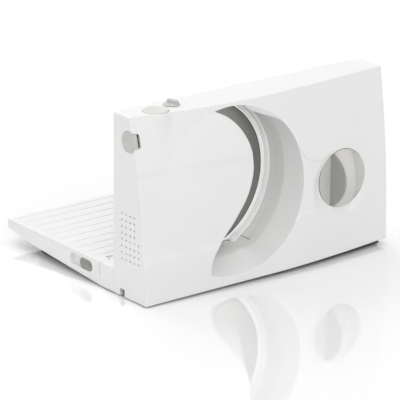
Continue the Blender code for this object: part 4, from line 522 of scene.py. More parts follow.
def about_blade(p):
    """Radius and angle of a place on the bench about the blade's axis."""
    across, up = p[0] - BLADE[0], p[2] - BLADE[1]
    return math.hypot(across, up), math.atan2(up, across)


def pan_corner(p):
    """The corner of the blade's pan that would show through the lower end of the throat."""
    radius, angle = about_blade(p)
    in_band = PAN_BAND[0] < radius < PAN_BAND[1] and PAN_SWEEP[0] < angle < PAN_SWEEP[1]
    return p[1] < PAN_FACE and in_band


soften("housing_back", "back_shell", WHITE, 0.0006, pan_corner)


def plain_lip(p):
    """The front of the plain lip, which the moulded lip further down stands in for."""
    return p[1] < LIP_FACE and about_blade(p)[0] < LIP_LIMIT


soften("gauge_plate", "gauge_fence", WHITE, 0.0003, plain_lip)


def finer(p):
    """Table grooves that are only 0.35 mm deep, and a small gap behind the hinge's ears."""
    in_slot = abs(p[1] - EAR_SLOT_END) < NEAR
    on_floor = abs(p[2] - GROOVE_FLOOR) < NEAR
    return p + [0, -EAR_SLOT_CUT * in_slot, GROOVE_FILL * on_floor]


soften("folding_table", "table_deck", WHITE, 0.0003, move=finer)
soften("table_support", "table_stand", DARK, 0.0010)
soften("base_plate", "floor_plate", DARK, 0.0004)
# The latch slider takes the darkened grey: painted shade of its finger recess.
soften("table_latch", "latch_slider", LATCH_GREY_PAINTED_SHADE, 0.0004)
soften("selector", "selector_dial", GREY, 0.0004)
soften("blade_lock", "blade_catch", DARK, 0.0004)


# %% [markdown]
# ## The face of the housing
# The face leans back towards the top and bellies out in the middle. Its depth in front
# of the back plane is a smooth curve along the width, once for the lower edge and once
# for the top, and the two are mixed by a power of the height. The start button's boss,
# the waist beside the knob and the shallow dome are added to it as fields.

# %% Depth of the face
def curve(x, places, values):
    """Cubic Hermite curve through a table, with slopes from its neighbours."""
    places, values = np.asarray(places, float), np.asarray(values, float)
    slopes = np.gradient(values, places)
    x = np.clip(x, places[0], places[-1])
    i = np.clip(np.searchsorted(places, x, side="right") - 1, 0, len(places) - 2)
    step = places[i + 1] - places[i]
    t = (x - places[i]) / step
    lean = step * ((t**3 - 2 * t**2 + t) * slopes[i] + (t**3 - t**2) * slopes[i + 1])
    return (2 * t**3 - 3 * t**2 + 1) * values[i] + (3 * t**2 - 2 * t**3) * values[i + 1] + lean


def plain_depth(x, z):
    """low + (high - low) * (z / H)^2.1, where low and high vary along the width."""
    lean = np.clip(z / HEIGHT, 0, 1) ** LEAN_POWER
    low = FACE_DEPTH * curve(x / WIDTH, LOW_PLACES, LOW_SHARES)
    high = TOP_DEPTH * curve(x / WIDTH, TOP_PLACES, TOP_SHARES)
    return low + (high - low) * lean


BOSS_RADIUS = 0.0160
NECK_RADIUS = 0.029
NECK_UPPER = (0.2355, 0.1455)
NECK_LOWER = (0.2170, 0.0345)
NECK_DEPTH = 0.0012
WAIST_EDGE = (-0.0002, 0.0012)
WAIST_LOW, WAIST_HIGH, WAIST_END = (0.046, 0.056), (0.136, 0.146), (0.2440, 0.2480)
BOSS_BLEND = 0.0030
DOME_RISE = 0.0034
DOME_POWER = 2.5
GROOVE_DEPTH = 0.00025
GROOVE_HALF = 0.0007
GROOVE_END = (0.095, 0.115)


def boss_depth(x):
    """An upright half round about the start button; beside it the value falls away."""
    across = np.clip(BOSS_RADIUS**2 - (x - BUTTON[0]) ** 2, 0, None)
    return -BUTTON[1] + np.sqrt(across) - np.where(across > 0, 0, 0.01)


def waist(x, z):
    """How deep the waist lies between the two hollow arcs left of the knob."""
    upper = np.hypot(x - NECK_UPPER[0], z - NECK_UPPER[1]) - NECK_RADIUS
    lower = np.hypot(x - NECK_LOWER[0], z - NECK_LOWER[1]) - NECK_RADIUS
    inside = smooth_step(*WAIST_EDGE, upper) * smooth_step(*WAIST_EDGE, lower)
    inside = inside * (1 - smooth_step(*WAIST_HIGH, z)) * smooth_step(*WAIST_LOW, z)
    return NECK_DEPTH * inside * (1 - smooth_step(*WAIST_END, x))


def face_depth(x, z):
    """The lean and the boss, less waist and groove, plus a dome of rise * (1 - (r / R)^2.5)."""
    depth = smooth_max(plain_depth(x, z), boss_depth(x), BOSS_BLEND) - waist(x, z)
    ring = np.hypot(x - RING[0], z - RING[1])
    dome = DOME_RISE * (1 - np.clip(ring / RING_RADIUS, 0, 1) ** DOME_POWER)
    left = 1 - smooth_step(*GROOVE_END, x)
    groove = GROOVE_DEPTH * np.exp(-(((ring - RING_RADIUS) / GROOVE_HALF) ** 2)) * left
    return depth + dome - groove


def on_face(places):
    """Points of the face over places given as (x, z) along the last axis."""
    x, z = places[..., 0], places[..., 1]
    return np.stack([x, -face_depth(x, z), z], -1)


def polar(centre, radius, angle):
    """Places (x, z) at a radius and an angle about a centre."""
    return centre + np.asarray(radius)[..., None] * np.stack([np.cos(angle), np.sin(angle)], -1)


def at(places, y):
    """Points at a given depth over places (x, z)."""
    return np.stack(np.broadcast_arrays(places[..., 0], y, places[..., 1]), -1)


def distance_run(line):
    """The distance along a line up to each of its points."""
    return np.concatenate([[0], np.cumsum(np.hypot(*np.diff(line, axis=0).T))])


def along(line, shares):
    """Places at shares of the length of a polyline."""
    run = distance_run(line)
    return np.stack([np.interp(shares, run / run[-1], column) for column in line.T], -1)


def through(knots, count):
    """A smooth line through knots, over their running distance."""
    stops = distance_run(knots)
    places = np.linspace(0, stops[-1], count)
    return np.stack([curve(places, stops, column) for column in knots.T], -1)


# %% [markdown]
# ## The outline of the face
# The face is laid out as rays. The left part has rays from the circle of the dome out to
# the housing's edges and to an upright line between the circle and the knob. The right
# part has rays from the knob's seat. Both share the points on the upright line.

# %% Border points of the face
SEAM_X = 0.2165
DENSE = 0.0700
BACK_START = WIDTH - CORNER


def lift(x):
    """Height of the lower edge, which rises gently to the right."""
    return LIFT_LEFT + (LIFT_RIGHT - LIFT_LEFT) * x / WIDTH


def joined(*stops):
    """Numbers through several stops: (start, count), (next, count) and so on, then the end."""
    parts = [np.linspace(a[0], b[0], a[1])[:-1] for a, b in zip(stops, stops[1:])]
    return np.concatenate(parts + [[stops[-1][0]]])


def pairs(x, z):
    """Places (x, z) from two lists, or from a list and one number."""
    return np.stack(np.broadcast_arrays(x, z), -1)


left_x, right_x, high_z = EDGE, WIDTH - EDGE, HEIGHT - EDGE
side_z = joined((lift(left_x) + EDGE, 280), (high_z, 0))
left_border = pairs(left_x, side_z)
top_left = pairs(joined((left_x, 86), (DENSE, 74), (SEAM_X, 0)), high_z)
seam_z = joined((high_z, 130), (lift(SEAM_X) + EDGE, 0))
seam = pairs(SEAM_X, seam_z)
low_x = joined((SEAM_X, 90), (left_x, 0))
bottom_left = pairs(low_x, lift(low_x) + EDGE)
far_x = joined((SEAM_X, 50), (BACK_START, 14), (right_x, 0))
top_right = pairs(far_x, high_z)
right_z = joined((high_z, 70), (lift(right_x) + EDGE, 0))
right_border = pairs(right_x, right_z)
bottom_right = pairs(far_x[::-1], lift(far_x[::-1]) + EDGE)
left_loop = np.concatenate([left_border, top_left[1:], seam[1:], bottom_left[1:]])
right_loop = np.concatenate([seam[::-1], top_right[1:], right_border[1:], bottom_right[1:]])

# %% [markdown]
# ## The mouth of the chute
# The opening is a crescent between the circle and the dome's front edge, the crest,
# whose knots follow the edge in the photo. Its two tips are rays of the left part, so the
# face, the dome and the chute share them.

# %% The crescent in the face
TIP_TOP = math.radians(103.5)
TIP_BOTTOM = math.radians(-112)
MOUTH_ROUND = 0.0007
CREST_ROUND = 0.0010
CREST_SWELL, SWELL_SPAN = 0.0014, (0.82, 0.94)
TOP_LEFT_TURN = math.radians(135)


def tapered(share, width):
    """1 along most of a curve, and down to 0 over a width at each end."""
    return smooth_step(0, width, share) * smooth_step(0, width, 1 - share)


angles = np.unwrap(np.arctan2(left_loop[:, 1] - RING[1], left_loop[:, 0] - RING[0]))
angles += TURN * round((TOP_LEFT_TURN - angles[len(side_z) - 1]) / TURN)
top_ray = int(np.argmin(np.abs(angles - TIP_TOP)))
bottom_ray = int(np.argmin(np.abs(angles - TIP_BOTTOM)))
angles[top_ray], angles[bottom_ray] = TIP_TOP, TIP_BOTTOM

mouth_angles = angles[top_ray : bottom_ray + 1]
mouth_share = (TIP_TOP - mouth_angles) / (TIP_TOP - TIP_BOTTOM)
mouth_round = MOUTH_ROUND * tapered(mouth_share, 0.04)
rounding = np.zeros(len(angles))
rounding[top_ray : bottom_ray + 1] = mouth_round
circle = polar(RING, RING_RADIUS + rounding, angles)

dome_ids = np.r_[bottom_ray : len(angles), 1 : top_ray + 1]
dome_rim = circle[dome_ids]
tip_top, tip_bottom = circle[top_ray], circle[bottom_ray]

CREST = [
    (0.0870, 0.0370), (0.0985, 0.0550), (0.1165, 0.0765), (0.1335, 0.1015),
    (0.1413, 0.1310), (0.1370, 0.1545), (0.1235, 0.1770), (0.1100, 0.1893),
]
crest_knots = np.array([tip_bottom, *CREST, tip_top])
crest_line = through(crest_knots, 400)
dome_share = distance_run(dome_rim)
dome_share /= dome_share[-1]
crest = along(crest_line, dome_share)
run = np.gradient(crest, axis=0)
run /= np.hypot(*run.T)[:, None]
crest_round = CREST_ROUND + CREST_SWELL * smooth_step(*SWELL_SPAN, dome_share)
crest_round = crest_round * tapered(dome_share, 0.06)
crest_inner = crest - crest_round[:, None] * np.stack([run[:, 1], -run[:, 0]], -1)

# %% [markdown]
# ## The throat and the chute's walls
# Behind the face the chute narrows to the throat, a band round the blade. Its outer side
# is given by polar knots about the blade's axis, and so is its inner side, and both meet
# in a rounded top end and a lower tip. The outer wall starts as a chamfer at the upper
# right, narrows to the throat and runs straight back. Where the gauge plate stands, it
# stops short of the plate's skirt, so that the plate can come 15 mm forward. The flank
# leads from the crest to the throat's inner side. All of them are ruled surfaces between
# matching curves, with small rounded edges at the face.

# %% Walls of the chute
THROAT_FRONT, THROAT_BACK = -0.024, -0.004
PLATE_END, PLATE_SPAN = -0.0195, np.radians([-58.3, 88.0])
OUTER_LEAD = 0.008
CHAMFER_WIDTH, CHAMFER_DEPTH = 0.0058, 0.0048
CHAMFER_START, CHAMFER_END = np.radians([42, 63]), np.radians([70, 83])
MOUTH_LEAD = 0.002
THROAT_OUTER = [(98, 0.0800), (96, 0.0868), (92, 0.0918)]
THROAT_OUTER += [(angle, 0.0932) for angle in [*range(87, -57, -12), -57]]
THROAT_OUTER += [(-60.5, 0.0925), (-63.5, 0.0900), (-66, 0.0872), (-69, 0.0861)]
THROAT_OUTER += [(-78, 0.0857), (-94, 0.0854)]
THROAT_INNER = [(98, 0.0800), (96, 0.0700), (91, 0.0630), (84, 0.0602)]
THROAT_INNER += [(angle, 0.0600) for angle in (70, 20, -20, -44)]
THROAT_INNER += [(-60, 0.0615), (-75, 0.0680), (-86, 0.0770), (-94, 0.0854)]


def throat_half(table):
    """Half of the throat's outline, from its top end to its bottom tip, out of polar knots."""
    turns, radii = np.radians([knot[0] for knot in table]), np.array([knot[1] for knot in table])
    return BLADE + through(polar(0, radii, turns), 500)


def unit(vectors):
    return vectors / np.maximum(np.linalg.norm(vectors, axis=-1, keepdims=True), 1e-12)


def rounded(first, corner, last, count):
    """Quadratic curves that turn from one surface into another round a corner."""
    s = np.linspace(0, 1, count)[:, None, None]
    return (1 - s) ** 2 * first + 2 * s * (1 - s) * corner + s**2 * last


throat_places = np.radians([-112, -86, -60, 19, 87, 103.5])
throat_shares = [1.0, 0.900, 0.806, 0.420, 0.085, 0.0]
outer_line = along(throat_half(THROAT_OUTER), curve(mouth_angles, throat_places, throat_shares))
run_in = smooth_step(0, 0.08, mouth_share) * smooth_step(0, 0.12, 1 - mouth_share)
outer_turn = np.arctan2(outer_line[:, 1] - BLADE[1], outer_line[:, 0] - BLADE[0])
beside_plate = (outer_turn > PLATE_SPAN[0]) & (outer_turn < PLATE_SPAN[1])
outer_front = at(outer_line, THROAT_FRONT - OUTER_LEAD * run_in)
outer_back = at(outer_line, np.where(beside_plate, PLATE_END, THROAT_BACK))
band = smooth_step(*CHAMFER_START, mouth_angles)
band = band * (1 - smooth_step(*CHAMFER_END, mouth_angles))
mouth = on_face(polar(RING, RING_RADIUS, mouth_angles))
bevel = on_face(polar(RING, RING_RADIUS - CHAMFER_WIDTH * band, mouth_angles))
bevel[:, 1] = mouth[:, 1] + CHAMFER_DEPTH * band
bevel += (1 - band)[:, None] * MOUTH_LEAD * unit(outer_front - mouth)
wall_start = mouth + mouth_round[:, None] * unit(bevel - mouth)
mouth_edge = rounded(on_face(circle[top_ray : bottom_ray + 1]), mouth, wall_start, 6)
outer_wall = [ruled(wall_start, bevel, 6), ruled(bevel, outer_front, 18)]
outer_wall += [ruled(outer_front, outer_back, 6)]

ends = 1 - smooth_step(0, 0.05, dome_share) * smooth_step(0, 0.2, 1 - dome_share)
inner_line = along(throat_half(THROAT_INNER), 1 - dome_share)
flank_back = at(inner_line, THROAT_BACK)
crest_edge = on_face(crest)
reach = (THROAT_FRONT - crest_edge[:, 1]) / (THROAT_BACK - crest_edge[:, 1])
straight = crest_edge + reach[:, None] * (flank_back - crest_edge)
flank_front = straight + ends[:, None] * (at(inner_line, THROAT_FRONT) - straight)
flank_start = crest_edge + crest_round[:, None] * unit(flank_front - crest_edge)
crest_fillet = rounded(on_face(crest_inner), crest_edge, flank_start, 6)
flank = [ruled(flank_start, flank_front, 12), ruled(flank_front, flank_back, 5)]

# %% [markdown]
# ## Face, dome and knob seat
# The seat's flare is a cone that widens by 2.2 for each unit of depth, so where it
# meets the leaning face it draws the light ring that is wider below than above.

# %% Grids of the face
SEAT_BORE, DISH_RADIUS, DISH_DEPTH = 0.0330, 0.0345, 0.0545
SEAT_FLOOR, FLARE_END, FLARE = 0.0509, 0.0465, 2.2
SEAT_CENTRE, FLARE_BLEND = 0.006, 0.0005

left_face = on_face(ruled(circle, left_loop, 30))
dome = on_face(ruled(dome_rim, crest_inner, 40))
knob_angles = np.arctan2(right_loop[:, 1] - KNOB[1], right_loop[:, 0] - KNOB[0])
seat_rim = polar(KNOB, SEAT_BORE, knob_angles)
flare_rim = polar(KNOB, FLARE_END, knob_angles)
spots = np.concatenate([ruled(seat_rim, flare_rim, 26), ruled(flare_rim, right_loop, 22)[1:]])
right_face = on_face(spots)
ring = np.hypot(spots[..., 0] - KNOB[0], spots[..., 1] - KNOB[1])
cone = DISH_DEPTH + np.clip(ring - DISH_RADIUS, 0, None) / FLARE
right_face[..., 1] = -smooth_min(-right_face[..., 1], cone, FLARE_BLEND)
seat_edge = right_face[0]
seat_foot = at(seat_rim, -SEAT_FLOOR)
seat_floor = at(polar(KNOB, SEAT_CENTRE, knob_angles), -SEAT_FLOOR)
seat = [ruled(seat_edge, seat_foot, 5), ruled(seat_foot, seat_floor, 4)]

# %% [markdown]
# ## Sides, top and rims
# The edge all round the face is a small quarter round. Each of its points is then swept
# straight back, which makes the sides and the top, with close rows where the holes are.
# At the right end the sweep stops at the rounded back corner. The open back and the open
# foot show the wall's thickness.

# %% Sweep the sides back
FAN = 6
INNER_FOOT, INNER_BACK = 0.006, 0.008
SIDE_ROWS = joined((0, 3), (0.15, 44), (0.80, 3), (1, 0))


def fan(corner_place, first, last):
    """One corner of the border, with outward ways that turn round it."""
    return np.repeat(corner_place[None], FAN, 0), np.radians(np.linspace(first, last, FAN))


def straight_run(border, angle):
    """A straight part of the border, with one outward way."""
    return border, np.full(len(border), math.radians(angle))


top_border = np.concatenate([top_left, top_right[1:]])
stretches = [
    fan(left_border[0], 270, 180),
    straight_run(left_border[1:-1], 180),
    fan(left_border[-1], 180, 90),
    straight_run(top_border[1:-1], 90),
    fan(top_border[-1], 90, 0),
    straight_run(right_border[1:-1], 0),
    fan(right_border[-1], 0, -90),
]
border = np.concatenate([part[0] for part in stretches])
heading = np.concatenate([part[1] for part in stretches])
outward = np.stack([np.cos(heading), np.sin(heading)], -1)


def quarter_round(places, ways):
    """Rows that turn from the face to a side: out by EDGE sin a, back by EDGE (1 - cos a)."""
    a = np.linspace(0, math.pi / 2, 5)[:, None]
    front = -face_depth(places[:, 0], places[:, 1])
    spots = places + EDGE * np.sin(a)[..., None] * ways
    return at(spots, front + EDGE * (1 - np.cos(a)))


def back_of(x):
    """Where the sides end: the back plane, or the rounded corner at the right end."""
    reach = np.clip(x - BACK_START, 0, CORNER)
    return np.sqrt(CORNER**2 - reach**2) - CORNER


edge_rows = quarter_round(border, outward)
front_rim = edge_rows[-1]
back_rim = front_rim.copy()
back_rim[:, 1] = back_of(front_rim[:, 0])
sides = ruled(front_rim, back_rim, SIDE_ROWS)

bottom = np.concatenate([bottom_right, bottom_left[1:]])
bottom_edge = quarter_round(bottom, np.tile([0.0, -1.0], (len(bottom), 1)))
sole = bottom_edge[-1] + [0, RIM - EDGE, 0]
bottom_inner = sole + [0, 0, INNER_FOOT]

hair = 1e-9
on_top = (heading <= math.pi / 2 + hair) & (back_rim[:, 2] > HEIGHT / 2)
top_corner = back_rim[on_top & (back_rim[:, 0] >= BACK_START - hair)]
top_corner = top_corner[np.argsort(top_corner[:, 0], kind="stable")]
top_corner = top_corner[: np.argmax(top_corner[:, 0] > WIDTH - hair) + 1]
low_corner = top_corner.copy()
low_corner[:, 2] = lift(low_corner[:, 0]) + HEIGHT - top_corner[:, 2]
low_corner[-1, 2] = back_rim[heading == 0][-1, 2]
back_corner = ruled(top_corner, low_corner, 70)
corner_lip = ruled(back_corner[:, 0], back_corner[:, 0] + [0, -RIM, 0], 2)


def foot_strip(column, inner_x):
    """The lower edge of a side: in by the wall's thickness, then up inside."""
    inner = column.copy()
    inner[:, 0] = inner_x
    return np.stack([column, inner, inner + [0, 0, INNER_FOOT]])


foot_rims = [foot_strip(sides[:, 0], RIM), foot_strip(sides[:, -1], WIDTH - RIM)]
plane = back_rim[back_rim[:, 0] <= BACK_START + hair]
inner = plane.copy()
inner[:, 0] = np.maximum(inner[:, 0], RIM)
inner[:, 2] = np.minimum(inner[:, 2], HEIGHT - RIM)
back_rims = np.stack([plane, inner, inner - [0, INNER_BACK, 0]])

# %% [markdown]
# ## Holes in the shell
# The vents, the cord's notch, the button's bore and the pocket of the lock button are
# cut as signed fields out of the finished shell, and their borders are carried inwards.

# %% Cut the holes and make the shell
VENT_FIRST = np.array([-0.0143, 0.0438])
VENT_COLUMNS, VENT_ROWS = 5, 8
VENT_PITCH, VENT_RADIUS = 0.0072, 0.00125
NOTCH_Y, NOTCH_HALF, NOTCH_TOP, NOTCH_X = -0.0149, 0.0041, 0.0095, 0.0030
POCKET_X, POCKET_RADIUS, POCKET_FLOOR, POCKET_WALL = 0.0080, 0.0120, 0.1635, 0.0026
BORE_RADIUS = 0.0142
SIDE_X, TOP_SKIN = 0.0006, 0.0002


def vent_field(p):
    """Distance to the nearest of 5 by 8 round vents in the left side."""
    column = np.clip(np.round((VENT_FIRST[0] - p[:, 1]) / VENT_PITCH), 0, VENT_COLUMNS - 1)
    row = np.clip(np.round((p[:, 2] - VENT_FIRST[1]) / VENT_PITCH), 0, VENT_ROWS - 1)
    y, z = VENT_FIRST[0] - column * VENT_PITCH, VENT_FIRST[1] + row * VENT_PITCH
    return np.where(p[:, 0] < SIDE_X, np.hypot(p[:, 1] - y, p[:, 2] - z) - VENT_RADIUS, 1.0)


def notch_field(p):
    """The mains cord's notch, at the foot of the left side."""
    wide = np.abs(p[:, 1] - NOTCH_Y) - NOTCH_HALF
    return np.where(p[:, 0] < NOTCH_X, np.maximum(wide, p[:, 2] - NOTCH_TOP), 1.0)


def pocket_field(p):
    """The half-moon of the lock button, which wraps round the front left edge."""
    disc = np.hypot(p[:, 1] - LOCK[0], p[:, 2] - LOCK[1]) - POCKET_RADIUS
    return np.maximum(np.maximum(disc, POCKET_FLOOR - p[:, 2]), p[:, 0] - POCKET_X)


def bore_field(p):
    """The start button's round bore in the top."""
    flat = np.hypot(p[:, 0] - BUTTON[0], p[:, 1] - BUTTON[1]) - BORE_RADIUS
    return np.where(p[:, 2] > HEIGHT - TOP_SKIN, flat, 1.0)


def inwards(p):
    """From the side the pocket's wall goes right, and from the front it goes back.

    On the front, the wall of the half-moon's round part also follows its disc.
    """
    side = p[:, 0] < SIDE_X
    across, above = p[:, 1] - LOCK[0], p[:, 2] - LOCK[1]
    off_disc = np.abs(np.hypot(across, above) - POCKET_RADIUS)
    on_disc = ~side & (off_disc < NEAR) & (above > 0)
    half_chord = np.sqrt(np.clip(POCKET_RADIUS**2 - (across + POCKET_WALL) ** 2, 0, None))
    rise = np.where(on_disc, LOCK[1] + half_chord - p[:, 2], 0)
    return np.stack([POCKET_WALL * side, POCKET_WALL * ~side, rise], -1)


grids = [left_face, dome, right_face, mouth_edge, *outer_wall, crest_fillet, *flank, *seat]
grids += [edge_rows, sides, bottom_edge, ruled(bottom_edge[-1], sole, 2)]
grids += [ruled(sole, bottom_inner, 3), back_corner, corner_lip, *foot_rims, back_rims]
shell_points, shell_faces = weld(grids)
SIDE_WALL, TOP_WALL = (0.0024, 0, 0), (0, 0, -0.0040)
HOLES = [(vent_field, SIDE_WALL), (notch_field, SIDE_WALL), (pocket_field, inwards)]
HOLES += [(bore_field, TOP_WALL)]
for field, rim in HOLES:
    shell_points, shell_faces = pierce(shell_points, shell_faces, field, rim)
dressed = ("housing", WHITE, "white_plastic", ["housing_front"])
piece("front_shell", shell_points, shell_faces, *dressed)

# %% [markdown]
# ## The blade
# The disc is turned from a profile, and its rim carries 240 fine teeth: the radius of the
# edge falls and rises in a sharp wave. The cutting bevel is on the food's side.

# %% Blade
def turned(profile, sweep, centre, axis="Y", wave=None):
    """A grid: profile points (radius, height) turned about an axis through a centre.

    A wave adds its own amount to the radius of each profile point that it is given for.
    """
    radius = np.array([point[0] for point in profile])[:, None] + 0 * sweep
    height = np.array([point[1] for point in profile])[:, None] + 0 * sweep
    if wave is not None:
        radius = radius + wave
    u, v = radius * np.cos(sweep), radius * np.sin(sweep)
    if axis == "Y":
        return np.stack([centre[0] + u, height, centre[1] + v], -1)
    return np.stack([centre[0] + u, centre[1] + v, height], -1)


TEETH, TOOTH, TOOTH_POWER, TOOTH_STEPS = 240, 0.0005, 0.8, 6
EDGE_RADIUS = 0.0850
blade_profile = [
    (0.0075, -0.0035), (0.0300, -0.0035), (0.0312, -0.0032), (0.0330, -0.0021),
    (0.0344, -0.0019), (0.0600, -0.0019), (0.0780, -0.0019), (0.0838, -0.0019),
    (0.0850, -0.0017), (0.0850, -0.0016), (0.0838, -0.0014), (0.0780, -0.0006),
    (0.0352, -0.0006), (0.0320, -0.0022), (0.0075, -0.0022), (0.0075, -0.0035),
]
sweep = np.linspace(0, TURN, TEETH * TOOTH_STEPS + 1)
phase = (sweep * TEETH / TURN) % 1
scallop = -TOOTH * np.abs(2 * phase - 1) ** TOOTH_POWER
at_edge = np.array([point[0] == EDGE_RADIUS for point in blade_profile])[:, None]
blade_grid = turned(blade_profile, sweep, BLADE, wave=at_edge * scallop)
blade_grid[:, -1] = blade_grid[:, 0]
disc = weld([blade_grid])
piece("cutting_disc", *disc, "blade_set", BLADE_STEEL, "blade_steel", ["blade"], crease=22)

# %% [markdown]
# ## The lip of the gauge plate
# The curved lip beside the blade is a flat band, a narrow groove and a taller rounded
# flange outside it. It stands in for the plain lip of the solid, which the fence above
# was made without. A thin sleeve on the plate slides inside the chute's wall and carries
# the wall on to the plate. It is shorter towards its upper end, where the chamfer is near,
# and nearly flush with the wall at its lower end. A dark joint runs across it.

# %% Gauge lip, sleeve and joint
LIP_SWEEP = np.radians(np.linspace(76.8, -62.5, 210))
LIP_CENTRE = (0.0895, -0.0030)
lip_profile = [
    (0.0856, -0.0001), (0.0856, -0.0010), (0.0858, -0.0014), (0.0862, -0.0016),
    (0.0880, -0.0018), (0.0896, -0.0021), (0.0899, -0.0020), (0.0901, -0.0008),
    (0.0907, -0.0008), (0.0909, -0.0045), (0.0911, -0.0058), (0.0914, -0.0069),
    (0.0918, -0.0076), (0.0922, -0.0078), (0.0925, -0.0077), (0.0927, -0.0073),
    (0.0927, -0.0010),
]
lip_grid = turned(lip_profile, LIP_SWEEP, BLADE)
lip_centre = turned([LIP_CENTRE] * len(lip_profile), LIP_SWEEP, BLADE)
lip_ends = [ruled(lip_grid[:, k], lip_centre[:, k], 2) for k in (0, -1)]
lip = weld([lip_grid, *lip_ends])
piece("gauge_lip", *lip, "gauge_plate", BRIGHT, "white_plastic", facing=(1, 0, 0), crease=50)

SLEEVE_SWEEP = np.radians(np.linspace(62, -58.1, 180))
FLUSH_RISE, FLUSH_SPAN = 0.00002, np.radians([53, 57])
SLEEVE_CUT, CUT_SPAN = 0.0042, np.radians([44, 60])
sleeve_profile = [
    (0.0930, -0.0012), (0.0930, -0.0193), (0.0931, -0.0194), (0.0931, -0.0012),
    (0.0930, -0.0012),
]
flush = FLUSH_RISE * smooth_step(*FLUSH_SPAN, -SLEEVE_SWEEP)
sleeve = turned(sleeve_profile, SLEEVE_SWEEP, BLADE, wave=flush)
sleeve[1:3, :, 1] += SLEEVE_CUT * smooth_step(*CUT_SPAN, SLEEVE_SWEEP)
sleeve = weld([sleeve])
piece("gauge_sleeve", *sleeve, "gauge_plate", WHITE, "white_plastic", facing=(1, 0, 0))

joint_depths = np.linspace(-0.0230, -0.0075, 12)
joint_line = polar(BLADE, 0.0929, np.radians([-54.6, -55.0]))
joint = weld([np.stack([at(joint_line, depth) for depth in joint_depths])])
piece("chute_joint", *joint, "gauge_plate", DARK, "dark_plastic", facing=(0, 0, 1))

# %% [markdown]
# ## Small marks
# Four plain raised ticks stand beside the selector.

# %% Ticks
TICKS = [(0.0677, -0.0299), (0.0776, -0.0240), (0.0781, -0.0199), (0.0829, -0.0102)]
tick_profile = [(0.0, 0.20155), (0.0006, 0.20155), (0.0008, 0.2014), (0.0008, 0.2012)]
tick_turns = np.linspace(0, TURN, 25)
ticks = weld([turned(tick_profile, tick_turns, tick, axis="Z") for tick in TICKS])
piece("selector_ticks", *ticks, "housing", GREY, "grey_plastic", facing=(0, 0, 1))

# %% [markdown]
# ## The thickness knob
# The knob is a shallow dome on a disc, cut down on both sides of an upright grip. Its
# depth is the lower of the dome and a side profile, with the corner between them rounded.
# The grid runs over chords, so that its border is the knob's circle.

# %% Knob
KNOB_RADIUS, KNOB_BACK, KNOB_RIM = 0.0325, 0.0509, 0.0556
CROWN, GRIP_HALF, GRIP_FOOT, SCOOP, LAND = 0.0155, 0.0070, 0.0140, 0.0040, 0.0012
SIDE_BLEND, GRIP_BLEND = 0.0009, 0.0011
KNOB_EDGE = 0.0005
KNOB_ROWS, KNOB_COLUMNS = 121, 181


def knob_depth(x, z):
    """min(dome, side): dome = rim + sqrt(S^2 - r^2) - (S - crown), S its sphere's radius."""
    sphere = (KNOB_RADIUS**2 + CROWN**2) / (2 * CROWN)
    dome = KNOB_RIM + np.sqrt(sphere**2 - x**2 - z**2) - (sphere - CROWN)
    off = np.abs(x)
    wall = KNOB_RIM - SCOOP + (CROWN + SCOOP) * (GRIP_FOOT - off) / (GRIP_FOOT - GRIP_HALF)
    outer = KNOB_RIM - SCOOP + SCOOP * (off - GRIP_FOOT) / (KNOB_RADIUS - LAND - GRIP_FOOT)
    outer = np.minimum(outer, KNOB_RIM)
    side = smooth_max(wall, outer, SIDE_BLEND)
    return smooth_min(dome, side, GRIP_BLEND)


def half_turn(count):
    """Sines over half a turn, which lie closer together towards both ends."""
    return np.sin(np.linspace(-math.pi / 2, math.pi / 2, count))


across = KNOB_RADIUS * half_turn(KNOB_COLUMNS)
knob_u = np.broadcast_to(across, (KNOB_ROWS, KNOB_COLUMNS))
knob_v = half_turn(KNOB_ROWS)[:, None] * np.sqrt(np.clip(KNOB_RADIUS**2 - across**2, 0, None))
shrink = (KNOB_RADIUS - KNOB_EDGE) / KNOB_RADIUS
u, v = shrink * knob_u, shrink * knob_v
knob_face = np.stack([KNOB[0] + u, -knob_depth(u, v), KNOB[1] + v], -1)
knob_ring = np.concatenate([knob_face[-1], knob_face[0, ::-1][1:]])
out = unit((knob_ring - [KNOB[0], 0, KNOB[1]]) * [1, 0, 1])
quarter = np.linspace(0, math.pi / 2, 5)[:, None, None]
knob_edge = knob_ring + KNOB_EDGE * (np.sin(quarter) * out + (1 - np.cos(quarter)) * [0, 1, 0])
foot = knob_edge[-1].copy()
foot[:, 1] = -KNOB_BACK
foot_centre = foot * [0, 1, 0] + [KNOB[0], 0, KNOB[1]]
knob = weld([knob_face, knob_edge, ruled(knob_edge[-1], foot, 5), ruled(foot, foot_centre, 3)])
piece("grip_knob", *knob, "knob", KNOB_GREY_PAINTED_SHADE, "grey_plastic", ["thickness_knob"], crease=50)

# %% [markdown]
# ## The controls
# The start button is turned: a rim with a shallow dish inside it. The lock button keeps
# its own form, with softened edges.

# %% Buttons
button_profile = [
    (0.0, 0.2019), (0.0060, 0.2020), (0.0100, 0.2023), (0.0117, 0.20255),
    (0.0126, 0.2026), (0.0133, 0.2023), (0.0137, 0.2017), (0.0138, 0.2010),
    (0.0138, 0.1960), (0.0, 0.1960),
]
button_grid = turned(button_profile, np.linspace(0, TURN, 129), BUTTON, axis="Z")
button_grid[:, -1] = button_grid[:, 0]
cap = (*weld([button_grid]), "start_button", BUTTON_GREY, "grey_plastic", ["start_button"])
piece("start_cap", *cap, facing=(0, 0, 1))
soften("lock_button", "lock_cap", GREY, 0.0003)


# %% [markdown]
# ## Camera
# The camera's place, turn and lens were fitted to the photo's edges with the housing at
# its real size.

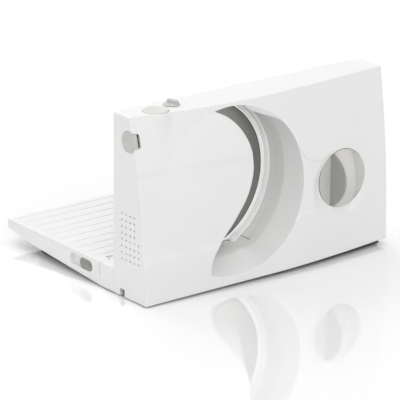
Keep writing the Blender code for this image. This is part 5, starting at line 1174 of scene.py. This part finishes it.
# %% Camera
CAMERA_PLACE = (-1.9227, -2.44655, 1.122)
YAW, PITCH, ROLL = (math.radians(angle) for angle in (38.115, 18.964, 0.504))
level_reach = math.cos(PITCH)
forward = Vector((math.sin(YAW) * level_reach, math.cos(YAW) * level_reach, -math.sin(PITCH)))
right = Vector((math.cos(YAW), -math.sin(YAW), 0))
up = right.cross(forward)
side = math.cos(ROLL) * right + math.sin(ROLL) * up
head = -math.sin(ROLL) * right + math.cos(ROLL) * up
lens = bpy.data.cameras.new("camera")
lens.lens = 268.97
lens.sensor_width = 36
lens.clip_end = 50
camera = bpy.data.objects.new("camera", lens)
view_turn = Matrix((side, head, -forward)).transposed().to_4x4()
camera.matrix_world = Matrix.Translation(CAMERA_PLACE) @ view_turn
bpy.context.scene.collection.objects.link(camera)
bpy.context.scene.camera = camera
bpy.context.scene.view_settings.view_transform = "Standard"

# %% [markdown]
# ## Floor and light
# The slicer stands on glossy white paper. It mirrors the object faintly, so the floor is
# a mix of a white diffuse and a smooth glossy shader. What the camera sees is brighter
# than what lights the object: the floor's colour where the camera sees it directly, and
# the world also where it is mirrored. That keeps the background white and the object's own
# tones apart. Five wide suns give each way a surface can face its own brightness.

# %% Floor, world and lamps
FLOOR_CORNERS = [(-8, -8, 0), (8, -8, 0), (8, 8, 0), (-8, 8, 0)]
FLOOR_GLOSS, FLOOR_ROUGHNESS = 0.30, 0.03
PAPER_THROWN, PAPER_SEEN = 0.62, 0.97
SKY_THROWN, SKY_SEEN = 0.20, 1.10


def bare_tree(owner):
    """Empties the node tree of a material or a world, and gives what adds and links nodes."""
    owner.use_nodes = True
    owner.node_tree.nodes.clear()
    return owner.node_tree.nodes.new, owner.node_tree.links.new


mesh = bpy.data.meshes.new("floor")
mesh.from_pydata(FLOOR_CORNERS, [], [(0, 1, 2, 3)])
floor = bpy.data.objects.new("floor", mesh)
bpy.context.scene.collection.objects.link(floor)
paper = bpy.data.materials.new("glossy white floor")
new, link = bare_tree(paper)
diffuse = new("ShaderNodeBsdfDiffuse")
gloss = new("ShaderNodeBsdfAnisotropic")
gloss.inputs["Color"].default_value = (1, 1, 1, 1)
gloss.inputs["Roughness"].default_value = FLOOR_ROUGHNESS
mixed = new("ShaderNodeMixShader")
mixed.inputs[0].default_value = FLOOR_GLOSS
shown = new("ShaderNodeLightPath")
tone = new("ShaderNodeMix")
tone.data_type = "RGBA"
tone.inputs[6].default_value = (*[PAPER_THROWN] * 3, 1)
tone.inputs[7].default_value = (*[PAPER_SEEN] * 3, 1)
output = new("ShaderNodeOutputMaterial")
link(shown.outputs["Is Camera Ray"], tone.inputs[0])
link(tone.outputs[2], diffuse.inputs["Color"])
link(diffuse.outputs[0], mixed.inputs[1])
link(gloss.outputs[0], mixed.inputs[2])
link(mixed.outputs[0], output.inputs[0])
mesh.materials.append(paper)

world = bpy.data.worlds.new("soft white")
bpy.context.scene.world = world
new, link = bare_tree(world)
path = new("ShaderNodeLightPath")
seen = new("ShaderNodeMath")
seen.operation = "MAXIMUM"
strength = new("ShaderNodeMix")
strength.inputs[2].default_value = SKY_THROWN
strength.inputs[3].default_value = SKY_SEEN
background = new("ShaderNodeBackground")
output = new("ShaderNodeOutputWorld")
link(path.outputs["Is Camera Ray"], seen.inputs[0])
link(path.outputs["Is Glossy Ray"], seen.inputs[1])
link(seen.outputs[0], strength.inputs[0])
link(strength.outputs[0], background.inputs["Strength"])
link(background.outputs[0], output.inputs[0])


def soft_sun(name, towards, spread, strength):
    """A sun that shines from a direction, wide enough that its shadows are soft."""
    light = bpy.data.lights.new(name, "SUN")
    light.angle = math.radians(spread)
    light.energy = strength * math.pi
    lamp = bpy.data.objects.new(name, light)
    lamp.rotation_euler = Vector(towards).to_track_quat("Z", "Y").to_euler()
    bpy.context.scene.collection.objects.link(lamp)


soft_sun("overhead", (0.05, -0.1, 1.0), 60, 0.383)
soft_sun("front_right", (0.45, -0.85, 0.40), 40, 0.143)
soft_sun("front_left", (-0.45, -0.80, 0.40), 40, 0.348)
soft_sun("back_left", (-0.80, 0.35, 0.45), 50, 0.266)
soft_sun("behind", (0.1, 0.75, 0.65), 50, 0.399)
